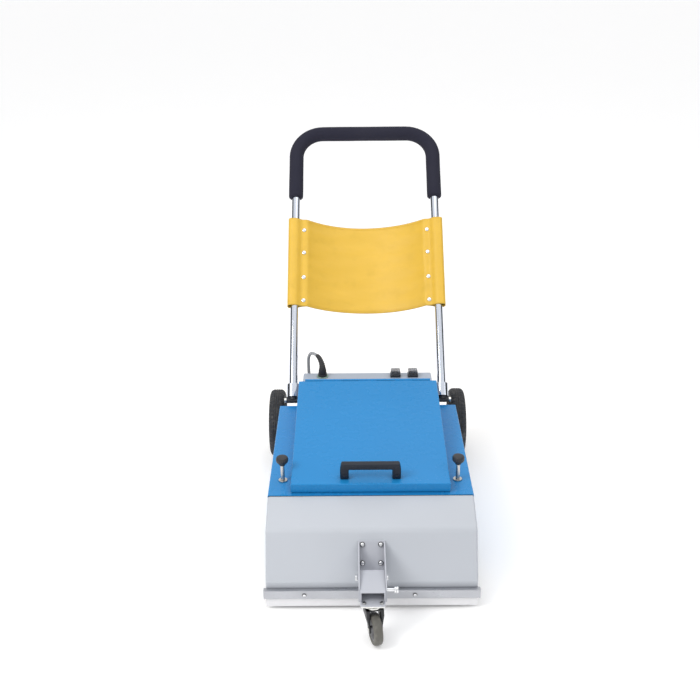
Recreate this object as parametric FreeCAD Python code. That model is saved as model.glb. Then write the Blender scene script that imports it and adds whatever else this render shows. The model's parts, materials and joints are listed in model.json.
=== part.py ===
"""Walk-behind escalator cleaning machine.

X runs to the right as seen from the front, Y from the front caster back to the push handle, Z up from the
floor.  Everything is drawn in a working frame whose Y = 0 is the front face of the skirt strip, and moved
at the end so that the origin is the middle of the machine's box on the floor.  Millimetres.
"""
import FreeCAD, Part
import math
import os

V = FreeCAD.Vector
NODES = {}

# Clearances
SLIP = 0.05              # shaft in its hole, radial
CLEAR = 0.3              # curved faces that pass each other
FACE = 0.5               # flat faces that pass each other

# Body: overall widths and lengths
BODY_HALF = 255.0        # half width of the body and the hood
SHEET = 1.5              # body sheet
WING_TOP = 220.0         # top of the flat side wings
WING_FRONT = 165.0
WING_REAR = 640.0
WING_TAIL = 50.0         # wings behind the full width body
SIDE_REAR = WING_REAR - WING_TAIL
BODY_REAR = WING_REAR + 5.0   # rear wall of the narrow body
SIDE_BOTTOM = 45.0
LIP_DROP = 7.0           # turned down front edge of the body cover

# Chassis
PLATE = 3.0              # chassis side plates
PAN_TOP = 44.0
PAN_SHEET = 2.0
PAN_FRONT = 250.0
DECK_TOP = 154.0
DECK_FRONT = 285.0
DECK_REAR = 465.0
AXLE_PLATE = 4.0
AXLE_PLATE_SHOULDER = 205.0   # height where the plates leave the body's rear wall

# Hood: front profile as (Y, Z) corners, from the lower edge to the rear of its top
HOOD_SHEET = 2.0
HOOD_BOTTOM = 33.0
HOOD_FOOT = (14.0, 72.0)
HOOD_FOLD = (70.0, 182.0)
HOOD_TOP = (164.5, 217.0)
HOOD_FOOT_R = 12.0
HOOD_FOLD_R = 28.0
HOOD_EDGE_R = 5.0

# Skirt strip at the foot of the hood
STRIP_HALF = BODY_HALF + 5.0
STRIP_TOP = 56.0
SKIRT_BOTTOM = 9.0
SKIRT_THICK = 3.0
SKIRT_FRONT = 5.0
SKIRT_GRIP = 15.0        # how far the skirt goes up into the strip
STRIP_SCREW_X = (-162.0, 103.0)
STRIP_SCREW_R = 4.0

# Lid
WING_WIDTH = 57.5        # flat wing beside the lid
LID_HALF = BODY_HALF - WING_WIDTH
LID_FRONT = (172.0, 247.0)
LID_SLOPE = 6.28
LID_SKIRT = 24.0
SEAL = 3.0
SEAL_WIDTH = 8.0
FLANGE = 12.0            # inward edge of the coaming
HINGE_Y = 649.0
HINGE_Z = 297.0
LID_TO_HINGE = 8.03      # lid's rear edge to the hinge pin
LID_LENGTH = (HINGE_Y - LID_TO_HINGE - LID_FRONT[0]) / math.cos(math.radians(LID_SLOPE))
HINGE_R = 4.0
HINGE_PIN_R = 2.0
HINGE_HALF = LID_HALF - 17.5
HINGE_LEAF_LONG = 27.0
HINGE_LEAF_TALL = 32.0
HINGE_KNUCKLES = 7
HINGE_LEAF = 1.2

# Plates that carry the axle and the handle, flat inside the narrow body's walls
AXLE_PLATE_OUT = LID_HALF - 2 * SHEET - FACE

# Lid handle
GRAB_HALF = 71.5
GRAB_HEIGHT = 45.0
GRAB_DEPTH = 18.0
GRAB_BAR = 17.0
GRAB_FROM_EDGE = 26.0    # middle of the handle behind the lid's front edge

# Rear wheels
WHEEL_R = 101.6          # an eight inch wheel
WHEEL_WIDTH = 44.5
RIM_R = 70.0
HUB_R = 24.0
AXLE_R = 10.0
AXLE_Y = 757.0
SPACER_R = 15.0
CAP_LENGTH = 4.7
WHEEL_SHOULDER = 16.0

# Push handle
LEAN = 44.7              # tilt of the handle tubes from upright
PIVOT_Y = 668.0
PIVOT_Z = 223.4
TUBE_R = 12.5
TUBE_WALL = 2.0
TUBE_STEP = 24.0         # tube's middle line from the axle plate's outer face
TUBE_HALF_GAP = AXLE_PLATE_OUT + TUBE_STEP
SLEEVE_START = 8.5      # distances along the tubes from the pivot
TUBE_START = 24.0
SLEEVE_END = 48.5
SLEEVE_R = 19.0
WHEEL_IN = TUBE_HALF_GAP + SLEEVE_R + 12.0
GRIP_START = 669.0
TOP_BAR = 901.0
BEND_R = 85.0
GRIP_R = 22.5
KNUCKLE_R = 8.0
KNUCKLE_STEP = 0.8       # the post's flats stand this far in from the round
PIVOT_BOLT_R = 4.0
PIVOT_SPACER = 5.0

# Sling between the tubes
SLING_START = 298.0
SLING_END = 591.0
SLING_SHEET = 1.8
SLING_HALF = TUBE_HALF_GAP + 22.0
SLING_BELLY = 64.0
SNAP_INSET = 27.0        # snaps inside the tube's middle line
POCKET_TIP = 20.2        # where the pocket's two sides meet, from the tube's middle line
SNAP_AT = (317.0, 394.0, 477.0, 554.0)
SNAP_R = 6.0

# Front caster
BRACKET_HALF = 32.3
BRACKET_SHEET = 3.0
BRACKET_LOW = 92.0
BRACKET_HIGH = 160.0
BRACKET_NOSE = (-104.0, 104.0)
BRACKET_BROW = (-98.0, 138.0)
BRACKET_BOLTS = 44.0
ARM_PIVOT = (-30.0, 118.0)
ARM_PIVOT_R = 4.0
ARM_FRONT = -120.0
ARM_LOW = 105.0
ARM_HIGH = 135.0
ARM_SHEET = 3.0
LOCK_AT = (-80.0, 122.0)
LOCK_R = 4.0
LOCK_HEAD_X = 59.0
SWIVEL_Y = -92.0
SWIVEL_ANGLE = 14.0
TRAIL = 22.0
CASTER_R = 37.5
CASTER_WIDTH = 21.0
CASTER_PLATE = 56.0
RACE_R = 23.0
FORK_GAP = 26.0
FORK_SHEET = 3.0

# Brush head
BRUSH_R = 50.0
BRUSH_CORE_R = 25.0
BRUSH_Z = 55.0
BRUSH_Y = (75.0, 190.0)
BRUSH_SHAFT_R = 8.0
HEAD_INSET = 21.0        # head plate's inner face from the body's side
HEAD_PLATE_IN = BODY_HALF - HEAD_INSET
BRUSH_HALF = HEAD_PLATE_IN - 9.0
HEAD_PLATE = 4.0
LIFT = 12.0
BEARING_R = 17.0
MOTOR_Y = 335.0
MOTOR_Z = 95.0
MOTOR_R = 42.0
MOTOR_HALF = 150.0
BELT_WIDTH = 8.0
BELT_THICK = 3.0
BRUSH_PULLEY_R = 22.0
MOTOR_PULLEY_R = 15.0
ADJUST_INSET = 34.0      # adjusters from the body's side
ADJUST_X = BODY_HALF - ADJUST_INSET
POST_X = ADJUST_X - 16.0
POST_Y = 262.0
POST_R = 6.0
BAR_FRONT = 248.0
BAR_REAR = 276.0
BAR_LOW = 110.0
BAR_HIGH = 130.0

# Height adjusters
ADJUST_Y = 234.0
ADJUST_R = 5.0
ADJUST_END = 104.0
KNOB_LOW = 257.0
KNOB_HIGH = 290.0
KNOB_R = 15.5
KNOB_NECK_R = 7.5

# Dust bin, filter and suction
BIN_HALF = 170.0
BIN_FRONT = 205.0
BIN_REAR = 430.0
BIN_HIGH = 225.0
BIN_WALL = 2.0
DUCT_HALF = BIN_HALF - 20.0
DUCT_MOUTH = (178.0, 150.0)
FILTER_THICK = 22.0
VAC_Y = 540.0
VAC_R = 72.0
VAC_HIGH = 200.0
VAC_WALL = 3.0
FAN_R = VAC_R - 12.0
FAN_DROP = 38.0          # fan disc below the motor's top
FAN_BLADES = 8
FAN_BLADE_TALL = 21.0
FAN_SHAFT_R = 6.0
FAN_SHAFT_FOOT = 41.0

# Control box
BOX_SIDE_GAP = 1.0       # to the axle plates on both sides
BOX_HALF = AXLE_PLATE_OUT - AXLE_PLATE - BOX_SIDE_GAP
BOX_FRONT = 652.0
BOX_REAR = 745.0
BOX_LOW = 140.0
BOX_TOP = 275.0
SWITCH_X = (BOX_HALF - 106.0, BOX_HALF - 55.0)
SWITCH_Y = 722.0
CAPACITOR_R = 20.0
CAPACITOR_LONG = 70.0
TERMINALS = 6
TERMINAL_STEP = 10.0
TERMINAL_DEPTH = 24.0
TERMINAL_HIGH = 22.0
SWITCH_WIDTH = 30.0
SWITCH_DEPTH = 25.0

# Mains lead
CORD_R = 4.5
GLAND_X = -(BOX_HALF - 57.0)
GLAND_Y = 722.0
GLAND_R = 10.5
GLAND_TOP = 300.0
GASKET_R = 17.0
GASKET_THICK = 2.0
BOOT_BEND = 30.0
CORD_HEADING = 120.5     # direction in plan in which the lead leaves the boot
COIL_X = -62.0
COIL_Y = 1010.0
COIL_INNER = 38.0
COIL_PITCH = 9.6
COIL_EASE = 1.4          # the turns where the coil climbs a layer stand this much further in or out
COIL_TURNS = 3           # turns in a layer
COIL_LAYERS = 4


def box(x0, x1, y0, y1, z0, z1):
    """Block between two corners."""
    return Part.makeBox(x1 - x0, y1 - y0, z1 - z0, V(x0, y0, z0))


def rod(radius, length, start, axis):
    """Cylinder from a point along an axis."""
    return Part.makeCylinder(radius, length, V(*start), V(*axis))


def rod_x(radius, x0, x1, y, z):
    """Cylinder along X between two stations."""
    return rod(radius, x1 - x0, (x0, y, z), (1, 0, 0))


def ring_x(outer, inner, x0, x1, y, z):
    """Tube along X between two stations."""
    return rod_x(outer, x0, x1, y, z).cut(rod_x(inner, x0 - 1, x1 + 1, y, z))


def rod_z(radius, z0, z1, x, y):
    """Upright cylinder between two heights."""
    return rod(radius, z1 - z0, (x, y, z0), (0, 0, 1))


def ring_z(outer, inner, z0, z1, x, y):
    """Upright tube between two heights."""
    return rod_z(outer, z0, z1, x, y).cut(rod_z(inner, z0 - 1, z1 + 1, x, y))


def rounded_edges(corners, radii):
    """Edges of a closed outline in the YZ plane, each corner rounded by its radius."""
    points = [V(0, y, z) for y, z in corners]
    count = len(points)
    joints = []
    for i, corner in enumerate(points):
        before = (points[i - 1] - corner).normalize()
        after = (points[(i + 1) % count] - corner).normalize()
        if radii[i] <= 0:
            joints.append((corner, None, corner))
            continue
        half = before.getAngle(after) / 2
        reach = radii[i] / math.tan(half)
        middle = (before + after).normalize()
        deep = radii[i] / math.sin(half) - radii[i]
        joints.append((corner + before * reach, corner + middle * deep, corner + after * reach))
    edges = []
    for i, (start, middle, end) in enumerate(joints):
        if middle is not None:
            edges.append(Part.Arc(start, middle, end).toShape())
        following = joints[(i + 1) % count][0]
        if end.distanceToPoint(following) > 1e-6:
            edges.append(Part.makeLine(end, following))
    return edges


def plate_x(corners, x0, x1, radii=None):
    """Flat shape given by (Y, Z) corners, extruded along X."""
    if radii is None:
        radii = [0] * len(corners)
    wire = Part.Wire(rounded_edges(corners, radii))
    face = Part.Face(wire)
    face.translate(V(x0, 0, 0))
    return face.extrude(V(x1 - x0, 0, 0))


def turned(profile, centre):
    """Solid turned about an upright line through centre, from (radius, height) corners."""
    points = [V(r, 0, z) for r, z in profile]
    points.append(points[0])
    face = Part.Face(Part.makePolygon(points))
    solid = face.revolve(V(0, 0, 0), V(0, 0, 1), 360)
    solid.translate(V(*centre))
    return solid


def mirrored(shape):
    """The same piece on the other side."""
    return shape.mirror(V(0, 0, 0), V(1, 0, 0))


def pair(shape):
    """A piece and its mirror image, as separate solids."""
    return [shape, mirrored(shape)]


def fused(shapes):
    """Several shapes as one solid."""
    whole = shapes[0].fuse(shapes[1:]) if len(shapes) > 1 else shapes[0]
    return whole.removeSplitter()


def cut_all(shape, tools):
    """A shape less a list of others."""
    for tool in tools:
        shape = shape.cut(tool)
    return shape


def node(name, *shapes):
    """Keep one named piece, or a group of like pieces."""
    solids = []
    for shape in shapes:
        solids.extend(shape.Solids)
    NODES[name] = solids[0] if len(solids) == 1 else Part.makeCompound(solids)


def hexagon(across, start, axis, height):
    """Hexagon head or nut."""
    solid = Part.Face(Part.makePolygon([
        V(math.cos(math.radians(60 * i)), math.sin(math.radians(60 * i)), 0) * (across / math.sqrt(3))
        for i in range(7)])).extrude(V(0, 0, height))
    solid.Placement = FreeCAD.Placement(V(*start), FreeCAD.Rotation(V(0, 0, 1), V(*axis)))
    return solid


def swept(wire, radius):
    """Round bar along a wire, bounded by flat ends."""
    edge = wire.OrderedEdges[0]
    start = edge.valueAt(edge.FirstParameter)
    heading = edge.tangentAt(edge.FirstParameter)
    if edge.Orientation == "Reversed":
        start = edge.valueAt(edge.LastParameter)
        heading = edge.tangentAt(edge.LastParameter) * -1
    circle = Part.Wire(Part.Circle(start, heading, radius).toShape())
    pipe = Part.BRepOffsetAPI.MakePipeShell(wire)
    pipe.add(circle)
    pipe.build()
    pipe.makeSolid()
    return pipe.shape()


def chassis():
    """Welded floor pan, side plates, deck and the plates that carry the axle."""
    inner = BODY_HALF - HOOD_SHEET - PLATE
    outer = BODY_HALF - HOOD_SHEET
    side = plate_x([(17, 38), (SIDE_REAR - SHEET, 38), (SIDE_REAR - SHEET, WING_TOP - SHEET),
                    (167, WING_TOP - SHEET), (167, 185), (82, 150), (32, 72), (17, 62)], inner, outer)
    pan = box(-inner, inner, PAN_FRONT, SIDE_REAR - SHEET, PAN_TOP - PAN_SHEET, PAN_TOP)
    plate_in = AXLE_PLATE_OUT - AXLE_PLATE
    tail = box(-plate_in, plate_in, SIDE_REAR - SHEET, BODY_REAR - SHEET, PAN_TOP - PAN_SHEET, PAN_TOP)
    deck = box(-inner, inner, DECK_FRONT, DECK_REAR, DECK_TOP - PAN_SHEET, DECK_TOP)
    frame = fused(pair(side) + [pan, tail, deck])
    posts = [rod_z(POST_R, PAN_TOP - PAN_SHEET, WING_TOP - SHEET, x, POST_Y) for x in (-POST_X, POST_X)]
    node("chassis_frame", fused([frame] + posts))

    front, rear, crest = SIDE_REAR - 30, AXLE_Y + 34, PIVOT_Z + 19.6
    axle_plate = plate_x([(front, PAN_TOP), (AXLE_Y, WHEEL_R - 30), (rear, WHEEL_R - 10), (rear, WHEEL_R + 47),
                          (PIVOT_Y + 32, crest), (PIVOT_Y - 16, crest), (BODY_REAR, AXLE_PLATE_SHOULDER),
                          (front, AXLE_PLATE_SHOULDER - 55)],
                         plate_in, AXLE_PLATE_OUT, [4, 40, 12, 12, 18, 10, 4, 4])
    axle_plate = axle_plate.cut(rod_x(AXLE_R + SLIP, plate_in - 1, AXLE_PLATE_OUT + 1, AXLE_Y, WHEEL_R))
    axle_plate = axle_plate.cut(rod_x(PIVOT_BOLT_R + SLIP, plate_in - 1, AXLE_PLATE_OUT + 1, PIVOT_Y, PIVOT_Z))
    node("axle_plates", *pair(axle_plate))


def lid_height(y):
    """Height of the lid's top face at Y."""
    return LID_FRONT[1] + (y - LID_FRONT[0]) * math.tan(math.radians(LID_SLOPE))


def body_cover():
    """Blue sheet body: side walls, flat wings and the raised coaming under the lid."""
    drop = SHEET + SEAL
    coaming = LID_HALF - SHEET - FACE
    front = LID_FRONT[0] + SHEET + LID_SKIRT * math.sin(math.radians(LID_SLOPE)) + FACE
    corner = 3.0

    def coaming_block(inset, extra):
        corners = [(front + inset, WING_TOP - 20), (BODY_REAR - inset, WING_TOP - 20),
                   (BODY_REAR - inset, lid_height(BODY_REAR) - drop - extra),
                   (front + inset, lid_height(front) - drop - extra)]
        return plate_x(corners, -coaming + inset, coaming - inset)

    main = box(-BODY_HALF, BODY_HALF, WING_FRONT, SIDE_REAR, SIDE_BOTTOM, WING_TOP)
    tail = box(-coaming, coaming, SIDE_REAR, BODY_REAR, SIDE_BOTTOM, WING_TOP)
    wings = box(-BODY_HALF, BODY_HALF, SIDE_REAR, WING_REAR, WING_TOP - SHEET, WING_TOP)
    outer = fused([main, tail, wings])
    top_edges = [e for e in outer.Edges
                 if abs(e.BoundBox.ZMin - WING_TOP) < 0.01 and abs(e.BoundBox.ZMax - WING_TOP) < 0.01
                 and e.BoundBox.XLength < 0.01 and abs(abs(e.BoundBox.XMin) - BODY_HALF) < 0.01
                 and e.BoundBox.YMin < SIDE_REAR - 1]
    outer = outer.makeFillet(corner, top_edges) if top_edges else outer
    outer = outer.fuse(coaming_block(0, 0)).removeSplitter()
    hollow = fused([
        box(-BODY_HALF + SHEET, BODY_HALF - SHEET, WING_FRONT - 5, SIDE_REAR - SHEET, 0, WING_TOP - SHEET),
        box(-coaming + SHEET, coaming - SHEET, SIDE_REAR - 20, BODY_REAR - SHEET, 0, WING_TOP - 1),
        coaming_block(SHEET, SHEET)])
    mouth = plate_x([(front + FLANGE, WING_TOP), (BODY_REAR - FLANGE, WING_TOP),
                     (BODY_REAR - FLANGE, WING_TOP + 100), (front + FLANGE, WING_TOP + 100)],
                    -coaming + FLANGE, coaming - FLANGE)
    cover = cut_all(outer, [hollow, mouth])
    lip = box(-BODY_HALF + corner, BODY_HALF - corner, WING_FRONT, WING_FRONT + SHEET,
              HOOD_TOP[1] + 1.2, WING_TOP - SHEET / 2)
    cover = cover.fuse(lip).removeSplitter()
    holes = [rod_z(ADJUST_R + 3 + SLIP, WING_TOP - 5, WING_TOP + 5, x, ADJUST_Y) for x in (-ADJUST_X, ADJUST_X)]
    slot = box(-HINGE_HALF, HINGE_HALF, BODY_REAR - 2 * FLANGE, BODY_REAR + 1,
               lid_height(BODY_REAR) - drop + 0.01, lid_height(BODY_REAR) + 5)
    passage = box(AXLE_PLATE_OUT - AXLE_PLATE - CLEAR, AXLE_PLATE_OUT + CLEAR, BODY_REAR - SHEET, BODY_REAR + 1,
                  SIDE_BOTTOM - 1, AXLE_PLATE_SHOULDER + 2 * FACE)
    node("body_cover", cut_all(cover, holes + [slot] + pair(passage)))

    top = lid_height(0) - SHEET
    seal = plate_x([(front, top + front * math.tan(math.radians(LID_SLOPE))),
                    (BODY_REAR - FLANGE - 14, top + (BODY_REAR - FLANGE - 14) * math.tan(math.radians(LID_SLOPE))),
                    (BODY_REAR - FLANGE - 14,
                     top + (BODY_REAR - FLANGE - 14) * math.tan(math.radians(LID_SLOPE)) - SEAL + CLEAR),
                    (front, top + front * math.tan(math.radians(LID_SLOPE)) - SEAL + CLEAR)],
                   -coaming + 1, coaming - 1)
    seal.translate(V(0, 0, -CLEAR))
    inner = box(-coaming + 1 + SEAL_WIDTH, coaming - 1 - SEAL_WIDTH, front + SEAL_WIDTH,
                BODY_REAR - FLANGE - 14 - SEAL_WIDTH, 0, 2 * top)
    node("lid_seal", seal.cut(inner))


def on_lid(shape):
    """Move a piece drawn on the lid's own top face, origin at its front edge."""
    shape = shape.copy()
    shape.rotate(V(0, 0, 0), V(1, 0, 0), LID_SLOPE)
    shape.translate(V(0, LID_FRONT[0], LID_FRONT[1]))
    return shape


def lid():
    """Blue tray lid, its black bridge handle and the piano hinge at its rear."""
    tray = box(-LID_HALF, LID_HALF, 0, LID_LENGTH, -LID_SKIRT, 0)
    rims = [e for e in tray.Edges
            if abs(e.BoundBox.ZMin) < 0.01 and abs(e.BoundBox.ZMax) < 0.01 and e.BoundBox.YMin < LID_LENGTH - 1]
    tray = tray.makeFillet(2.5, rims)
    tray = tray.cut(box(-LID_HALF + SHEET, LID_HALF - SHEET, SHEET, LID_LENGTH + 1, -LID_SKIRT - 1, -SHEET))
    node("lid", on_lid(tray))

    outer = box(-GRAB_HALF, GRAB_HALF, 0, GRAB_DEPTH, 0, GRAB_HEIGHT)
    outer = outer.makeFillet(12, [e for e in outer.Edges if e.BoundBox.YLength > 1 and e.BoundBox.ZMin > 1])
    bar = GRAB_BAR
    gap = box(-GRAB_HALF + bar, GRAB_HALF - bar, -1, GRAB_DEPTH + 1, -1, GRAB_HEIGHT - bar)
    grab = outer.cut(gap)
    grab = grab.makeFillet(4, [e for e in grab.Edges if e.BoundBox.YLength > 1 and 1 < e.BoundBox.ZMin < 40
                               and e.BoundBox.XLength < 0.01])
    foot = box(GRAB_HALF - bar - 2, GRAB_HALF + 4, -3, GRAB_DEPTH + 3, 0, 5)
    grab = fused([grab] + pair(foot))
    grab.translate(V(0, GRAB_FROM_EDGE - GRAB_DEPTH / 2, 0))
    node("lid_handle", on_lid(grab))

    step = 2 * HINGE_HALF / HINGE_KNUCKLES
    fixed, moving = [], []
    leaf_top = lid_height(HINGE_Y) - SHEET - 0.05
    for i in range(HINGE_KNUCKLES):
        x0 = -HINGE_HALF + i * step + CLEAR / 2
        x1 = x0 + step - CLEAR
        knuckle = ring_x(HINGE_R, HINGE_PIN_R + SLIP, x0, x1, HINGE_Y, HINGE_Z)
        bore = rod_x(HINGE_PIN_R + SLIP, x0 - 1, x1 + 1, HINGE_Y, HINGE_Z)
        if i % 2:
            leaf = box(x0, x1, HINGE_Y - HINGE_LEAF_LONG, HINGE_Y, leaf_top - HINGE_LEAF, leaf_top)
            leaf.rotate(V(0, HINGE_Y, leaf_top), V(1, 0, 0), LID_SLOPE)
            moving.append(fused([knuckle, leaf]).cut(bore))
        else:
            leaf = box(x0, x1, BODY_REAR, BODY_REAR + HINGE_LEAF, HINGE_Z - HINGE_LEAF_TALL, HINGE_Z)
            fixed.append(fused([knuckle, leaf]).cut(bore))
    node("hinge_body_leaf", *fixed, rod_x(HINGE_PIN_R, -HINGE_HALF, HINGE_HALF, HINGE_Y, HINGE_Z))
    node("hinge_lid_leaf", *moving)


def hood_outline(inset):
    """Corners and corner radii of the hood's side outline, moved in by inset."""
    foot, fold, top = HOOD_FOOT, HOOD_FOLD, HOOD_TOP
    points = [(foot[0], HOOD_BOTTOM), foot, fold, top]
    lines = []
    for a, b in zip(points, points[1:]):
        dy, dz = b[0] - a[0], b[1] - a[1]
        size = math.hypot(dy, dz)
        ny, nz = dz / size, -dy / size
        lines.append(((a[0] + ny * inset, a[1] + nz * inset), (dy / size, dz / size)))

    def cross(one, two):
        (ay, az), (ady, adz) = one
        (by, bz), (bdy, bdz) = two
        t = ((by - ay) * bdz - (bz - az) * bdy) / (ady * bdz - adz * bdy)
        return (ay + ady * t, az + adz * t)

    extra = 0 if inset == 0 else 10
    corners = [(foot[0] + inset, HOOD_BOTTOM - extra), cross(lines[0], lines[1]), cross(lines[1], lines[2])]
    (ay, az), (dy, dz) = lines[2]
    rear = top[0] + extra
    corners.append((rear, az + (rear - ay) / dy * dz))
    corners.append((rear, HOOD_BOTTOM - extra))
    return corners, [0, HOOD_FOOT_R + inset, HOOD_FOLD_R - inset, 0, 0]


def hood():
    """Light grey hood over the brushes, and the strip and skirt at its foot."""
    corners, radii = hood_outline(0)
    outer = plate_x(corners, -BODY_HALF, BODY_HALF, radii)
    ends = [e for e in outer.Edges
            if abs(abs(e.CenterOfMass.x) - BODY_HALF) < 0.01 and e.CenterOfMass.z > HOOD_BOTTOM + 1
            and abs(e.CenterOfMass.y - HOOD_TOP[0]) > 1]
    outer = outer.makeFillet(HOOD_EDGE_R, ends)
    corners, radii = hood_outline(HOOD_SHEET)
    inner = plate_x(corners, -BODY_HALF + HOOD_SHEET, BODY_HALF - HOOD_SHEET, radii)
    node("hood", outer.cut(inner))

    front = HOOD_FOOT[0]
    strip = box(-STRIP_HALF, STRIP_HALF, 0, front, HOOD_BOTTOM, STRIP_TOP)
    strip = strip.makeFillet(1.5, [e for e in strip.Edges if e.BoundBox.XLength > 1 and e.BoundBox.YMax < 0.1])
    slot = box(-STRIP_HALF - 1, STRIP_HALF + 1, SKIRT_FRONT, SKIRT_FRONT + SKIRT_THICK,
               HOOD_BOTTOM - 1, HOOD_BOTTOM + SKIRT_GRIP)
    relief = box(-STRIP_HALF - 1, STRIP_HALF + 1, SKIRT_FRONT + SKIRT_THICK + 2, front - 1.5,
                 HOOD_BOTTOM - 1, STRIP_TOP - 3)
    node("skirt_strip", cut_all(strip, [slot, relief]))
    node("front_skirt", box(-BODY_HALF + 1, BODY_HALF - 1, SKIRT_FRONT, SKIRT_FRONT + SKIRT_THICK,
                            SKIRT_BOTTOM, HOOD_BOTTOM + SKIRT_GRIP))
    screws = []
    for x in STRIP_SCREW_X:
        head = rod(STRIP_SCREW_R, 2.2, (x, 0, (HOOD_BOTTOM + STRIP_TOP) / 2), (0, -1, 0))
        screws.append(head.makeFillet(1.2, [e for e in head.Edges if e.BoundBox.YMax < -2]))
    node("front_fasteners", *screws, *bracket_bolts(), arm_pivot_bolt())


def on_hood_face(shape):
    """Move a piece drawn on the hood's front face, local Z outwards and local Y up the slope."""
    dy = HOOD_FOLD[0] - HOOD_FOOT[0]
    dz = HOOD_FOLD[1] - HOOD_FOOT[1]
    slope = math.degrees(math.atan2(dz, dy))
    shape = shape.copy()
    shape.rotate(V(0, 0, 0), V(1, 0, 0), slope)
    shape.translate(V(0, HOOD_FOOT[0], HOOD_FOOT[1]))
    return shape


def hood_y(z):
    """Y of the hood's front face at a height."""
    return HOOD_FOOT[0] + (z - HOOD_FOOT[1]) * (HOOD_FOLD[0] - HOOD_FOOT[0]) / (HOOD_FOLD[1] - HOOD_FOOT[1])


def bracket_bolts():
    """Four bolts with washers that hold the caster bracket on the hood."""
    rise = math.hypot(HOOD_FOLD[0] - HOOD_FOOT[0], HOOD_FOLD[1] - HOOD_FOOT[1])
    middle = ((BRACKET_LOW + BRACKET_HIGH) / 2 + 6 - HOOD_FOOT[1]) / (HOOD_FOLD[1] - HOOD_FOOT[1]) * rise
    bolts = []
    for x in (-BRACKET_BOLTS / 2, BRACKET_BOLTS / 2):
        for y in (middle - BRACKET_BOLTS / 2, middle + BRACKET_BOLTS / 2):
            washer = rod(6.5, 1.2, (x, y, BRACKET_SHEET), (0, 0, 1))
            head = hexagon(10, (x, y, BRACKET_SHEET + 1.2), (0, 0, 1), 4.5)
            bolts.append(on_hood_face(fused([washer, head])))
    return bolts


def arm_pivot_bolt():
    """Bolt, washer and nut on which the caster arm folds."""
    y, z = ARM_PIVOT
    shank = rod_x(ARM_PIVOT_R, -BRACKET_HALF - 2, BRACKET_HALF + 6, y, z)
    head = hexagon(13, (-BRACKET_HALF - 1.5, y, z), (-1, 0, 0), 6)
    ring = rod_x(8, -BRACKET_HALF - 1.5, -BRACKET_HALF, y, z)
    nut = hexagon(11, (BRACKET_HALF, y, z), (1, 0, 0), 5)
    return fused([shank, head, ring, nut])


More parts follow.
